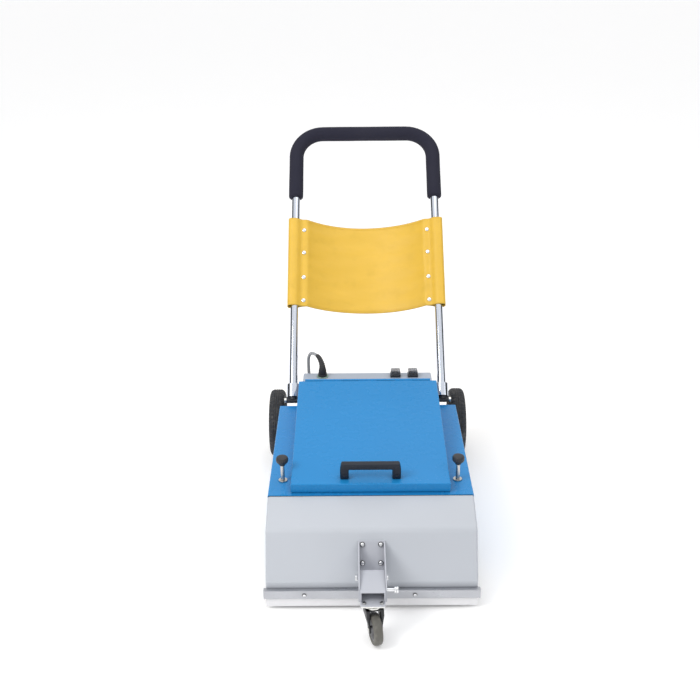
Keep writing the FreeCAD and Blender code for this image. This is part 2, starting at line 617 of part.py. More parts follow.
def caster():
    """Fixed bracket on the hood, folding arm, lock pin and the swivel caster."""
    thick = BRACKET_SHEET
    low, high = (hood_y(BRACKET_LOW), BRACKET_LOW), (hood_y(BRACKET_HIGH), BRACKET_HIGH)
    cheek = plate_x([low, high, BRACKET_BROW, BRACKET_NOSE], BRACKET_HALF - thick, BRACKET_HALF, [2, 3, 8, 4])
    web = plate_x([low, high, (high[0] - thick * 1.12, high[1]), (low[0] - thick * 1.12, low[1])],
                  -BRACKET_HALF, BRACKET_HALF)
    bracket = fused(pair(cheek) + [web])
    pivot_hole = rod_x(ARM_PIVOT_R + SLIP, -99, 99, *ARM_PIVOT)
    lock_hole = rod_x(LOCK_R + SLIP, 0, 99, *LOCK_AT)
    bracket = cut_all(bracket, [pivot_hole, lock_hole])
    node("caster_bracket", bracket)

    half = BRACKET_HALF - thick - FACE
    sheet = ARM_SHEET
    pivot_y = ARM_PIVOT[0]
    arm = plate_x([(pivot_y + 14, ARM_LOW), (pivot_y + 14, ARM_HIGH), (-106, ARM_HIGH), (-106, ARM_LOW)],
                  -half, half, [12, 12, 5, 0])
    arm = arm.cut(box(-half + sheet, half - sheet, -200, pivot_y - 8, ARM_LOW + sheet, ARM_HIGH - sheet))
    tongue = box(-half, half, ARM_FRONT, -100, ARM_LOW, ARM_LOW + sheet)
    tongue = tongue.makeFillet(5, [e for e in tongue.Edges if e.BoundBox.ZLength > 1 and e.BoundBox.YMax < -101])
    arm = fused([arm, tongue])
    arm = cut_all(arm, [rod_x(ARM_PIVOT_R + SLIP, -99, 99, *ARM_PIVOT), rod_x(LOCK_R + CLEAR, 0, 99, *LOCK_AT)])
    node("caster_arm", arm)

    tip = BRACKET_HALF - thick
    pin = rod_x(LOCK_R, tip, LOCK_HEAD_X - 5, *LOCK_AT)
    disc = rod_x(8, LOCK_HEAD_X - 5, LOCK_HEAD_X, *LOCK_AT)
    disc = disc.makeFillet(1.2, [e for e in disc.Edges if e.BoundBox.XLength < 0.01])
    collar = ring_x(7.5, LOCK_R + SLIP, LOCK_HEAD_X - 9, LOCK_HEAD_X - 5 - SLIP, *LOCK_AT)
    node("lock_pin", fused([pin, disc]), collar)

    top = ARM_LOW
    plate = box(-CASTER_PLATE / 2, CASTER_PLATE / 2, SWIVEL_Y - CASTER_PLATE / 2, SWIVEL_Y + CASTER_PLATE / 2,
                top - 3, top)
    plate = plate.makeFillet(6, [e for e in plate.Edges if e.BoundBox.ZLength > 1])
    upper = rod_z(RACE_R, top - 10, top - 3, 0, SWIVEL_Y)
    upper = upper.makeFillet(3, [e for e in upper.Edges if e.BoundBox.ZMax < top - 9])
    rivet_hole = rod_z(5 + SLIP, top - 20, top + 1, 0, SWIVEL_Y)
    studs = []
    for dx in (-20, 20):
        for dy in (-20, 20):
            studs.append(hexagon(8, (dx, SWIVEL_Y + dy, top + ARM_SHEET), (0, 0, 1), 4))
    node("caster_plate", fused([plate, upper]).cut(rivet_hole), *studs)

    race_low = top - 16
    race = rod_z(RACE_R - 1, race_low, top - 10 - CLEAR, 0, SWIVEL_Y)
    race = race.makeFillet(2, [e for e in race.Edges if e.BoundBox.ZMax < race_low + 0.1])
    crown = box(-FORK_GAP / 2 - FORK_SHEET, FORK_GAP / 2 + FORK_SHEET, SWIVEL_Y - 22, SWIVEL_Y + 16,
                race_low - FORK_SHEET, race_low)
    axle_y = SWIVEL_Y - TRAIL
    leg = plate_x([(SWIVEL_Y + 16, race_low), (SWIVEL_Y - 22, race_low), (axle_y - 9, CASTER_R - 4),
                   (axle_y - 3, CASTER_R - 9), (axle_y + 7, CASTER_R - 7)],
                  FORK_GAP / 2, FORK_GAP / 2 + FORK_SHEET, [3, 3, 6, 4, 6])
    leg = leg.cut(rod_x(4 + SLIP, 0, 99, axle_y, CASTER_R))
    rivet = rod_z(5, race_low - 2, top - 3 - CLEAR, 0, SWIVEL_Y)
    fork = fused([race, crown, rivet] + pair(leg))
    axle = rod_x(4, -FORK_GAP / 2 - FORK_SHEET - 1, FORK_GAP / 2 + FORK_SHEET + 5, axle_y, CASTER_R)
    axle_head = hexagon(13, (-FORK_GAP / 2 - FORK_SHEET, axle_y, CASTER_R), (-1, 0, 0), 5)
    axle_nut = hexagon(13, (FORK_GAP / 2 + FORK_SHEET, axle_y, CASTER_R), (1, 0, 0), 5)
    axle = fused([axle, axle_head, axle_nut])
    hub = ring_x(26, 4 + SLIP, -9, 9, axle_y, CASTER_R)
    hub = fused([hub, ring_x(8, 4 + SLIP, -FORK_GAP / 2 + CLEAR, FORK_GAP / 2 - CLEAR, axle_y, CASTER_R)])
    tyre = ring_x(CASTER_R, 26, -CASTER_WIDTH / 2, CASTER_WIDTH / 2, axle_y, CASTER_R)
    tyre = tyre.makeFillet(3, [e for e in tyre.Edges if abs(e.BoundBox.ZLength - 2 * CASTER_R) < 0.1
                               and e.BoundBox.XLength < 0.1])
    for name, shapes in (("caster_fork", [fork, axle]), ("caster_hub", [hub]), ("caster_tyre", [tyre])):
        for shape in shapes:
            shape.rotate(V(0, SWIVEL_Y, 0), V(0, 0, 1), SWIVEL_ANGLE)
        node(name, *shapes)


def hull_x(circles, x0, x1):
    """Convex outline round circles given as (Y, Z, radius), extruded along X."""
    parts = [rod_x(r, x0, x1, y, z) for y, z, r in circles]
    for i, (ay, az, ar) in enumerate(circles):
        for by, bz, br in circles[i + 1:]:
            far = math.hypot(by - ay, bz - az)
            base = math.atan2(bz - az, by - ay)
            tilt = math.acos((ar - br) / far)
            quad = []
            for y, z, r, side in ((ay, az, ar, 1), (by, bz, br, 1), (by, bz, br, -1), (ay, az, ar, -1)):
                quad.append((y + r * math.cos(base + side * tilt), z + r * math.sin(base + side * tilt)))
            parts.append(plate_x(quad, x0, x1))
    parts.append(plate_x([(y, z) for y, z, r in circles], x0, x1))
    return fused(parts)


def brush_head():
    """Brush rollers in their lifting frame, with the motor, pulleys and belt that drive them."""
    inner, outer = HEAD_PLATE_IN, HEAD_PLATE_IN + HEAD_PLATE
    front, rear, low, tail = BRUSH_Y[0], BRUSH_Y[1], BRUSH_Z - 23, MOTOR_Y + 50
    plate = plate_x([(front - 40, low + 10), (front - 15, low), (rear + 15, low), (rear + 50, BRUSH_Z - 7),
                     (tail, BRUSH_Z - 7), (tail, BAR_HIGH - 2), (front + 75, BAR_HIGH), (front + 35, BAR_HIGH - 8),
                     (front - 25, BRUSH_Z + 37), (front - 40, BRUSH_Z + 17)], inner, outer, [6] * 10)
    bearing_holes = [rod_x(BEARING_R + SLIP, inner - 1, outer + 1, y, BRUSH_Z) for y in BRUSH_Y]
    motor_hole = rod_x(14, inner - 1, outer + 1, MOTOR_Y, MOTOR_Z)
    plate = cut_all(plate, bearing_holes + [motor_hole])
    bar = box(-inner, inner, BAR_FRONT, BAR_REAR, BAR_LOW, BAR_HIGH)
    lug = box(ADJUST_X - 12, ADJUST_X + 12, ADJUST_Y - 12, BAR_FRONT, BAR_LOW, BAR_HIGH)
    tray = box(-inner, inner, MOTOR_Y - 45, MOTOR_Y + 45, MOTOR_Z - MOTOR_R - 3, MOTOR_Z - MOTOR_R)
    frame = fused(pair(plate) + [bar, tray] + pair(lug))
    holes = [rod_z(POST_R + SLIP, BAR_LOW - 1, BAR_HIGH + 1, x, POST_Y) for x in (-POST_X, POST_X)]
    holes += [rod_z(ADJUST_R + SLIP, BAR_LOW - 1, BAR_HIGH + 1, x, ADJUST_Y) for x in (-ADJUST_X, ADJUST_X)]
    node("brush_head_frame", cut_all(frame, holes))

    rings = [ring_x(BEARING_R, BRUSH_SHAFT_R + SLIP, inner, outer, y, BRUSH_Z) for y in BRUSH_Y]
    node("brush_bearings", *(rings + [mirrored(ring) for ring in rings]))

    belt_in = outer + 1.5
    for name, y in zip(("front", "rear"), BRUSH_Y):
        core = rod_x(BRUSH_CORE_R, -BRUSH_HALF, BRUSH_HALF, y, BRUSH_Z)
        shaft = rod_x(BRUSH_SHAFT_R, -outer - 2, belt_in + BELT_WIDTH + 1, y, BRUSH_Z)
        pulley = rod_x(BRUSH_PULLEY_R, belt_in, belt_in + BELT_WIDTH, y, BRUSH_Z)
        node(name + "_brush_core", fused([core, shaft, pulley]))
        bristles = ring_x(BRUSH_R, BRUSH_CORE_R, -BRUSH_HALF + 3, BRUSH_HALF - 3, y, BRUSH_Z)
        node(name + "_brush_bristles", bristles)

    can = rod_x(MOTOR_R, -MOTOR_HALF, MOTOR_HALF - 30, MOTOR_Y, MOTOR_Z)
    nose = rod_x(MOTOR_R - 8, MOTOR_HALF - 30, MOTOR_HALF, MOTOR_Y, MOTOR_Z)
    foot = box(-MOTOR_HALF + 30, MOTOR_HALF - 60, MOTOR_Y - 34, MOTOR_Y + 34, MOTOR_Z - MOTOR_R, MOTOR_Z - 24)
    motor = fused([can, nose, foot]).cut(rod_x(7 + SLIP, MOTOR_HALF - 40, MOTOR_HALF + 1, MOTOR_Y, MOTOR_Z))
    node("brush_motor", motor)
    rotor = fused([rod_x(7, MOTOR_HALF - 39, belt_in + BELT_WIDTH, MOTOR_Y, MOTOR_Z),
                   rod_x(MOTOR_PULLEY_R, belt_in, belt_in + BELT_WIDTH, MOTOR_Y, MOTOR_Z)])
    node("motor_pulley", rotor)

    circles = [(BRUSH_Y[0], BRUSH_Z, BRUSH_PULLEY_R + CLEAR), (BRUSH_Y[1], BRUSH_Z, BRUSH_PULLEY_R + CLEAR),
               (MOTOR_Y, MOTOR_Z, MOTOR_PULLEY_R + CLEAR)]
    thick = [(y, z, r + BELT_THICK) for y, z, r in circles]
    belt = hull_x(thick, belt_in, belt_in + BELT_WIDTH).cut(hull_x(circles, belt_in - 1, belt_in + BELT_WIDTH + 1))
    node("drive_belt", belt)


def adjusters():
    """Screws that lift the brush head, their bushes in the wings and the two black knobs."""
    screw = rod_z(ADJUST_R, ADJUST_END, KNOB_LOW + 16, ADJUST_X, ADJUST_Y)
    collar = rod_z(9, WING_TOP - SHEET - 8, WING_TOP - SHEET - 2 - FACE, ADJUST_X, ADJUST_Y)
    screw = fused([screw, collar])
    bush = fused([ring_z(8, ADJUST_R + SLIP, WING_TOP - SHEET - 2, WING_TOP + 1, ADJUST_X, ADJUST_Y),
                  ring_z(11, ADJUST_R + SLIP, WING_TOP, WING_TOP + 3, ADJUST_X, ADJUST_Y)])
    knob = turned([(0, KNOB_LOW), (KNOB_NECK_R, KNOB_LOW), (KNOB_NECK_R, KNOB_LOW + 4), (12, KNOB_LOW + 11),
                   (KNOB_R, KNOB_LOW + 18), (KNOB_R, KNOB_HIGH - 4), (KNOB_R - 3, KNOB_HIGH), (0, KNOB_HIGH)],
                  (ADJUST_X, ADJUST_Y, 0))
    knob = knob.cut(rod_z(ADJUST_R, KNOB_LOW - 1, KNOB_LOW + 16, ADJUST_X, ADJUST_Y))
    node("adjuster_bushes", *pair(bush))
    for side, turn in (("right", lambda s: s), ("left", mirrored)):
        node("adjuster_" + side, turn(screw), turn(knob))


def suction():
    """Duct from the brushes, dust bin, filter and the suction motor with its fan."""
    bin_box = box(-BIN_HALF, BIN_HALF, BIN_FRONT, BIN_REAR, DECK_TOP, BIN_HIGH)
    bin_box = bin_box.makeFillet(8, [e for e in bin_box.Edges if e.BoundBox.ZLength > 1])
    hollow = box(-BIN_HALF + BIN_WALL, BIN_HALF - BIN_WALL, BIN_FRONT + BIN_WALL, BIN_REAR - BIN_WALL,
                 DECK_TOP + BIN_WALL, BIN_HIGH + 1)
    hollow = hollow.makeFillet(6, [e for e in hollow.Edges if e.BoundBox.ZLength > 1])
    inlet = box(-DUCT_HALF + 2, DUCT_HALF - 2, BIN_FRONT - 1, BIN_FRONT + 5, DECK_TOP + 16, BIN_HIGH - 17)
    node("dust_bin", cut_all(bin_box, [hollow, inlet]))

    y, z = DUCT_MOUTH
    duct = plate_x([(y, z), (y + 12, z - 6), (BIN_FRONT, DECK_TOP + 14), (BIN_FRONT, BIN_HIGH - 15),
                    (BIN_FRONT - 9, BIN_HIGH - 15)], -DUCT_HALF, DUCT_HALF)
    bore = plate_x([(y + 0.5, z - 3), (y + 9, z - 7.5), (BIN_FRONT + 1, DECK_TOP + 16.5),
                    (BIN_FRONT + 1, BIN_HIGH - 17), (BIN_FRONT - 8, BIN_HIGH - 17)], -DUCT_HALF + 2, DUCT_HALF - 2)
    node("suction_duct", duct.cut(bore))

    frame = box(-BIN_HALF + 10, BIN_HALF - 10, BIN_REAR, BIN_REAR + FILTER_THICK, DECK_TOP, BIN_HIGH + 8)
    for x in (-100, 0, 100):
        frame = frame.cut(box(x - 45, x + 45, BIN_REAR - 1, BIN_REAR + 5, DECK_TOP + 10, BIN_HIGH))
    node("dust_filter", frame)

    outer = rod_z(VAC_R, PAN_TOP, VAC_HIGH, 0, VAC_Y)
    outer = outer.makeFillet(6, [e for e in outer.Edges if e.BoundBox.ZMin > VAC_HIGH - 0.1])
    chamber = rod_z(VAC_R - VAC_WALL, VAC_HIGH - 45, VAC_HIGH - VAC_WALL, 0, VAC_Y)
    eye = rod_z(VAC_R / 3, VAC_HIGH - 10, VAC_HIGH + 1, 0, VAC_Y)
    bore = rod_z(FAN_SHAFT_R + SLIP, PAN_TOP + FAN_SHAFT_FOOT - 1, VAC_HIGH, 0, VAC_Y)
    outlet = box(VAC_R / 2 - 6, VAC_R - 12, VAC_Y, VAC_Y + VAC_R + 5, VAC_HIGH - 40, VAC_HIGH - 15)
    node("suction_motor", cut_all(outer, [chamber, eye, bore, outlet]))
    disc = VAC_HIGH - FAN_DROP
    shaft = rod_z(FAN_SHAFT_R, PAN_TOP + FAN_SHAFT_FOOT, VAC_HIGH - 12, 0, VAC_Y)
    fan = fused([shaft, rod_z(FAN_R, disc, disc + 2, 0, VAC_Y)] + fan_blades(disc + 1))
    node("suction_fan", fan)


def fan_blades(foot):
    """Upright blades round the suction fan's disc."""
    blades = []
    for i in range(FAN_BLADES):
        blade = box(2 * FAN_SHAFT_R, FAN_R - 2, -1, 1, foot, foot + FAN_BLADE_TALL)
        blade.rotate(V(0, 0, 0), V(0, 0, 1), 360 / FAN_BLADES * i)
        blade.translate(V(0, VAC_Y, 0))
        blades.append(blade)
    return blades


def control_box():
    """Light grey control box behind the body, with its switches and what it holds."""
    outer = box(-BOX_HALF, BOX_HALF, BOX_FRONT, BOX_REAR, BOX_LOW, BOX_TOP)
    outer = outer.makeFillet(4, [e for e in outer.Edges if e.BoundBox.ZMin > BOX_TOP - 0.1
                                 or (e.BoundBox.ZLength > 1 and e.BoundBox.YMin > BOX_REAR - 1)])
    hollow = box(-BOX_HALF + SHEET, BOX_HALF - SHEET, BOX_FRONT + SHEET, BOX_REAR - SHEET, BOX_LOW - 1, BOX_TOP - SHEET)
    holes = [box(x - 11, x + 11, SWITCH_Y - 9, SWITCH_Y + 9, BOX_TOP - 5, BOX_TOP + 5) for x in SWITCH_X]
    holes.append(rod_z(8.2, BOX_TOP - 5, BOX_TOP + 5, GLAND_X, GLAND_Y))
    node("control_box", cut_all(outer, [hollow] + holes))
    floor = box(-BOX_HALF + SHEET, BOX_HALF - SHEET, BOX_FRONT + SHEET, BOX_REAR - SHEET, BOX_LOW, BOX_LOW + 2)
    low = BOX_LOW + 2
    middle = (BOX_FRONT + BOX_REAR) / 2
    centre = low + CAPACITOR_R
    capacitor = rod_x(CAPACITOR_R, -20, CAPACITOR_LONG - 20, middle, centre)
    saddle = box(-10, CAPACITOR_LONG - 30, middle - CAPACITOR_R + 5, middle + CAPACITOR_R - 5, low, centre)
    capacitor = fused([capacitor, saddle])
    block_end = 69 - BOX_HALF
    block_half = TERMINAL_DEPTH / 2
    block = box(block_end, block_end + TERMINALS * TERMINAL_STEP + 10, middle - block_half, middle + block_half,
                low, low + TERMINAL_HIGH)
    for i in range(TERMINALS):
        x = block_end + 6 + i * TERMINAL_STEP
        block = block.cut(box(x, x + TERMINAL_STEP - 2, middle - block_half + 6, middle + block_half - 6,
                              low + TERMINAL_HIGH - 10, low + TERMINAL_HIGH + 1))
    node("control_gear", floor, capacitor, block)

    bodies, boots = [], []
    half_w, half_d = SWITCH_WIDTH / 2, SWITCH_DEPTH / 2
    for name, x in zip(("left", "right"), SWITCH_X):
        bezel = box(x - half_w, x + half_w, SWITCH_Y - half_d, SWITCH_Y + half_d, BOX_TOP, BOX_TOP + 7)
        bezel = bezel.makeFillet(3, [e for e in bezel.Edges if e.BoundBox.ZLength > 1])
        stem = box(x - 10.5, x + 10.5, SWITCH_Y - 8.5, SWITCH_Y + 8.5, BOX_TOP - 25, BOX_TOP + 1)
        well = box(x - 9.5, x + 9.5, SWITCH_Y - 8, SWITCH_Y + 8, BOX_TOP - 8, BOX_TOP + 8)
        bodies.append(fused([bezel, stem]).cut(well))
        dome = box(x - half_w + 1, x + half_w - 1, SWITCH_Y - half_d + 1, SWITCH_Y + half_d - 1, BOX_TOP + 7,
                   BOX_TOP + 22)
        dome = dome.makeFillet(7, [e for e in dome.Edges if e.BoundBox.ZMin > BOX_TOP + 7.1
                                   or e.BoundBox.ZLength > 1])
        inside = box(x - half_w + 3, x + half_w - 3, SWITCH_Y - half_d + 3, SWITCH_Y + half_d - 3, BOX_TOP + 6,
                     BOX_TOP + 20.5)
        inside = inside.makeFillet(5, [e for e in inside.Edges if e.BoundBox.ZMin > BOX_TOP + 6.1
                                       or e.BoundBox.ZLength > 1])
        boots.append(dome.cut(inside))
        rocker = plate_x([(-6, 0), (-6.5, 7), (0, 4.5), (6.5, 9.5), (6, 0), (0, -5)], -8.5, 8.5)
        rocker = rocker.cut(rod_x(1.5 + SLIP, -9, 9, 0, 0))
        rocker.translate(V(x, SWITCH_Y, BOX_TOP + 3))
        node("switch_rocker_" + name, rocker)
        bodies[-1] = bodies[-1].fuse(rod_x(1.5, x - 9.6, x + 9.6, SWITCH_Y, BOX_TOP + 3))
    node("switch_bodies", *bodies)
    node("switch_boots", *boots)


def rear_wheels():
    """Axle with its spacers and caps, and two rubber tyred wheels."""
    hub_in, hub_out = WHEEL_IN + CLEAR, WHEEL_IN + WHEEL_WIDTH - 5
    axle = rod_x(AXLE_R, -hub_out - 2, hub_out + 2, AXLE_Y, WHEEL_R)
    spacer = ring_x(SPACER_R, AXLE_R + SLIP, AXLE_PLATE_OUT, WHEEL_IN, AXLE_Y, WHEEL_R)
    cap = rod_x(SPACER_R, hub_out + CLEAR, hub_out + CLEAR + CAP_LENGTH, AXLE_Y, WHEEL_R)
    cap = cap.makeFillet(2.5, [e for e in cap.Edges if e.BoundBox.XMin > hub_out + CAP_LENGTH])
    cap = cap.cut(rod_x(AXLE_R, hub_out - 1, hub_out + 2, AXLE_Y, WHEEL_R))
    node("rear_axle", axle, *pair(spacer), *pair(cap))

    hub = ring_x(HUB_R, AXLE_R + SLIP, hub_in, hub_out, AXLE_Y, WHEEL_R)
    rim = ring_x(RIM_R, RIM_R - 8, WHEEL_IN + 5, WHEEL_IN + WHEEL_WIDTH - 5, AXLE_Y, WHEEL_R)
    disc = ring_x(RIM_R - 4, AXLE_R + SLIP, WHEEL_IN + 20, WHEEL_IN + 26, AXLE_Y, WHEEL_R)
    spokes = []
    for i in range(5):
        rib = box(WHEEL_IN + 10, WHEEL_IN + 38, -4, 4, HUB_R - 4, RIM_R - 4)
        rib.rotate(V(0, 0, 0), V(1, 0, 0), 72 * i)
        rib.translate(V(0, AXLE_Y, WHEEL_R))
        spokes.append(rib)
    rim = fused([hub, rim, disc] + spokes)
    tyre = ring_x(WHEEL_R, RIM_R, WHEEL_IN, WHEEL_IN + WHEEL_WIDTH, AXLE_Y, WHEEL_R)
    tyre = tyre.makeFillet(WHEEL_SHOULDER, [e for e in tyre.Edges if abs(e.BoundBox.ZLength - 2 * WHEEL_R) < 0.1
                                            and e.BoundBox.XLength < 0.1])
    for side, turn in (("right", lambda s: s), ("left", mirrored)):
        node("wheel_rim_" + side, turn(rim))
        node("wheel_tyre_" + side, turn(tyre))


def on_handle(shape):
    """Move a piece drawn with the handle upright, its pivot at the origin and its back towards +Y."""
    shape = shape.copy()
    shape.rotate(V(0, 0, 0), V(1, 0, 0), -LEAN)
    shape.translate(V(0, PIVOT_Y, PIVOT_Z))
    return shape


def bent_path(start):
    """Middle line of the handle tube from one leg over the top bar to the other."""
    half, top, bend = TUBE_HALF_GAP, TOP_BAR, BEND_R
    deep = bend * (1 - math.sqrt(0.5))
    points = [V(-half, 0, start), V(-half, 0, top - bend), V(-half + bend, 0, top),
              V(half - bend, 0, top), V(half, 0, top - bend), V(half, 0, start)]
    left = V(-half + deep, 0, top - deep)
    right = V(half - deep, 0, top - deep)
    return Part.Wire([Part.makeLine(points[0], points[1]), Part.Arc(points[1], left, points[2]).toShape(),
                      Part.makeLine(points[2], points[3]), Part.Arc(points[3], right, points[4]).toShape(),
                      Part.makeLine(points[4], points[5])])


def handle():
    """Folding push handle: tube, foam grip, sleeves, pivots and the yellow sling with its snaps."""
    path = bent_path(TUBE_START)
    tube = swept(path, TUBE_R).cut(swept(path, TUBE_R - TUBE_WALL))
    node("handle_tube", on_handle(tube))
    grip_path = bent_path(GRIP_START)
    grip = swept(grip_path, GRIP_R).cut(swept(bent_path(GRIP_START - 5), TUBE_R))
    node("foam_grip", on_handle(grip))

    sleeve = ring_z(SLEEVE_R, TUBE_R + SLIP, SLEEVE_START, SLEEVE_END, TUBE_HALF_GAP, 0)
    sleeve = sleeve.makeFillet(1.5, [e for e in sleeve.Edges if e.BoundBox.ZMin > SLEEVE_END - 0.1
                                     and e.BoundBox.XLength > 2 * TUBE_R + 5])
    node("handle_sleeves", *[on_handle(s) for s in pair(sleeve)])
    inner = TUBE_HALF_GAP - SLEEVE_R + FACE + PIVOT_SPACER
    outer = TUBE_HALF_GAP + SLEEVE_R
    knuckle = ring_x(KNUCKLE_R, PIVOT_BOLT_R + SLIP, inner, outer, 0, 0)
    across = KNUCKLE_R - KNUCKLE_STEP
    shoulder = box(inner, outer, -across, across, 0, SLEEVE_START)
    shoulder = shoulder.common(rod_z(SLEEVE_R, 0, SLEEVE_START, TUBE_HALF_GAP, 0))
    plug = rod_z(TUBE_R - SLIP, KNUCKLE_STEP, TUBE_START, TUBE_HALF_GAP, 0)
    knuckle = fused([knuckle, shoulder, plug]).cut(rod_x(PIVOT_BOLT_R + SLIP, inner - 1, outer + 1, 0, 0))
    node("handle_knuckles", *[on_handle(s) for s in pair(knuckle)])
    spacer = ring_x(KNUCKLE_R, PIVOT_BOLT_R + SLIP, AXLE_PLATE_OUT, inner - CLEAR, PIVOT_Y, PIVOT_Z)
    bolt = rod_x(PIVOT_BOLT_R, AXLE_PLATE_OUT - AXLE_PLATE - 0.8, outer + 4, PIVOT_Y, PIVOT_Z)
    head = hexagon(13, (outer + CLEAR, PIVOT_Y, PIVOT_Z), (1, 0, 0), 6)
    node("pivot_bolts", *pair(fused([bolt, head])), *pair(spacer))

    node("sling", on_handle(sling_shape()))
    snaps = []
    reach = TUBE_HALF_GAP - SNAP_INSET
    for at in SNAP_AT:
        for x in (-reach, reach):
            front = rod(SNAP_R, 2.5, (x, -SLING_SHEET - 0.3, at), (0, -1, 0))
            front = front.makeFillet(1.2, [e for e in front.Edges if e.BoundBox.YMax < -SLING_SHEET - 2])
            snaps.append(on_handle(front))
    node("sling_snaps", *snaps)


def sling_shape():
    """Sheet that wraps both tubes in loose pockets and bellies back between them."""
    sheet = SLING_SHEET
    inner_r = TUBE_R + CLEAR
    end_x = SLING_HALF - sheet - inner_r
    tip = TUBE_HALF_GAP - POCKET_TIP
    low = SLING_START
    tall = SLING_END - SLING_START

    def pocket(grow):
        r = inner_r + grow
        points = [V(tip - grow, 0, 0), V(end_x - 12, -r, 0), V(end_x, -r, 0), V(end_x + r, 0, 0),
                  V(end_x, r, 0), V(end_x - 12, r, 0)]
        edges = [Part.makeLine(points[0], points[1]), Part.makeLine(points[1], points[2]),
                 Part.Arc(points[2], points[3], points[4]).toShape(), Part.makeLine(points[4], points[5]),
                 Part.makeLine(points[5], points[0])]
        face = Part.Face(Part.Wire(edges))
        solid = face.extrude(V(0, 0, tall))
        solid.translate(V(0, 0, low))
        return solid

    reach = TUBE_HALF_GAP - SNAP_INSET - 10
    ends = tip + 2 * sheet

    def belly_face():
        front = Part.Arc(V(-reach, -sheet, 0), V(0, SLING_BELLY - sheet, 0), V(reach, -sheet, 0)).toShape()
        back = Part.Arc(V(reach, sheet / 2, 0), V(0, SLING_BELLY, 0), V(-reach, sheet / 2, 0)).toShape()
        outline = [front, Part.makeLine(V(reach, -sheet, 0), V(ends, -sheet, 0)),
                   Part.makeLine(V(ends, -sheet, 0), V(ends, sheet / 2, 0)),
                   Part.makeLine(V(ends, sheet / 2, 0), V(reach, sheet / 2, 0)), back,
                   Part.makeLine(V(-reach, sheet / 2, 0), V(-ends, sheet / 2, 0)),
                   Part.makeLine(V(-ends, sheet / 2, 0), V(-ends, -sheet, 0)),
                   Part.makeLine(V(-ends, -sheet, 0), V(-reach, -sheet, 0))]
        return Part.Face(Part.Wire(Part.__sortEdges__(outline)))

    belly = belly_face().extrude(V(0, 0, tall))
    belly.translate(V(0, 0, low))
    shell = pocket(sheet)
    hollow = pocket(0)
    body = fused([belly, shell, mirrored(shell)])
    return cut_all(body, [hollow, mirrored(hollow)])


def heading(degrees):
    """Level direction at an angle from +X."""
    return V(math.cos(math.radians(degrees)), math.sin(math.radians(degrees)), 0)


def arc_from(start, control, end):
    """Arc that leaves start towards control and arrives at end from it, both legs alike."""
    chord = (end - start).Length
    leg = (control - start).Length
    weight = chord / (2 * leg)
    middle = (start + control * (2 * weight) + end) * (1 / (2 + 2 * weight))
    return Part.Arc(start, middle, end).toShape()


def routed(points):
    """Wire of straight runs joined by arcs as large as the runs allow."""
    edges, radii = [], []
    last = points[0]
    for before, corner, after in zip(points, points[1:], points[2:]):
        one, two = before - corner, after - corner
        reach = 0.45 * min(one.Length, two.Length)
        start = corner + one.normalize() * reach
        end = corner + two.normalize() * reach
        edges.append(Part.makeLine(last, start))
        edges.append(arc_from(start, corner, end))
        half_turn = (math.pi - one.getAngle(two)) / 2
        radii.append(reach / math.tan(half_turn))
        last = end
    edges.append(Part.makeLine(last, points[-1]))
    print("smallest lead radius", round(min(radii), 1), "of", [round(r) for r in radii])
    return Part.Wire(edges)


def coil_wire():
    """Neat round coil: flat spirals in layers, climbing a layer where the spiral turns back."""
    stations = []
    halves = 2 * COIL_TURNS
    for layer in range(COIL_LAYERS):
        for step in range(halves + 1):
            grown = step if layer % 2 else halves - step
            ease = {0: -COIL_EASE, halves: COIL_EASE}.get(grown, 0)
            stations.append((COIL_INNER + grown * COIL_PITCH / 2 + ease, CORD_R + layer * COIL_PITCH))
    stations.append((COIL_INNER + (halves + 1) * COIL_PITCH / 2 + COIL_EASE, stations[-1][1]))
    places, headings = [], []
    for i, (radius, height) in enumerate(stations):
        side = -1 if i % 2 else 1
        places.append(V(COIL_X + side * radius, COIL_Y, height))
        headings.append(V(0, side, 0))
    edges = [Part.makeLine(places[0] - headings[0] * (2 * CORD_R), places[0])]
    for i in range(len(places) - 1):
        leg = (places[i + 1] - places[i]).Length / 2
        one = places[i] + headings[i] * leg
        two = places[i + 1] - headings[i + 1] * leg
        middle = (one + two) * 0.5
        edges.append(arc_from(places[i], one, middle))
        edges.append(arc_from(middle, two, places[i + 1]))
    edges.append(Part.makeLine(places[-1], places[-1] + headings[-1] * (2 * CORD_R)))
    return Part.Wire(edges), places[0] - headings[0] * (2 * CORD_R), places[-1] + headings[-1] * (2 * CORD_R)


def own_gap(wire, diameter):
    """Least gap of a coiled tube to itself, measured on points along its middle line."""
    length = wire.Length
    count = int(length / 4)
    points = wire.discretize(count)
    step = length / (count - 1)
    apart = int(math.pi * diameter / step)
    least = 1e9
    for i in range(len(points)):
        for j in range(i + apart, len(points)):
            least = min(least, points[i].distanceToPoint(points[j]))
    return least - diameter


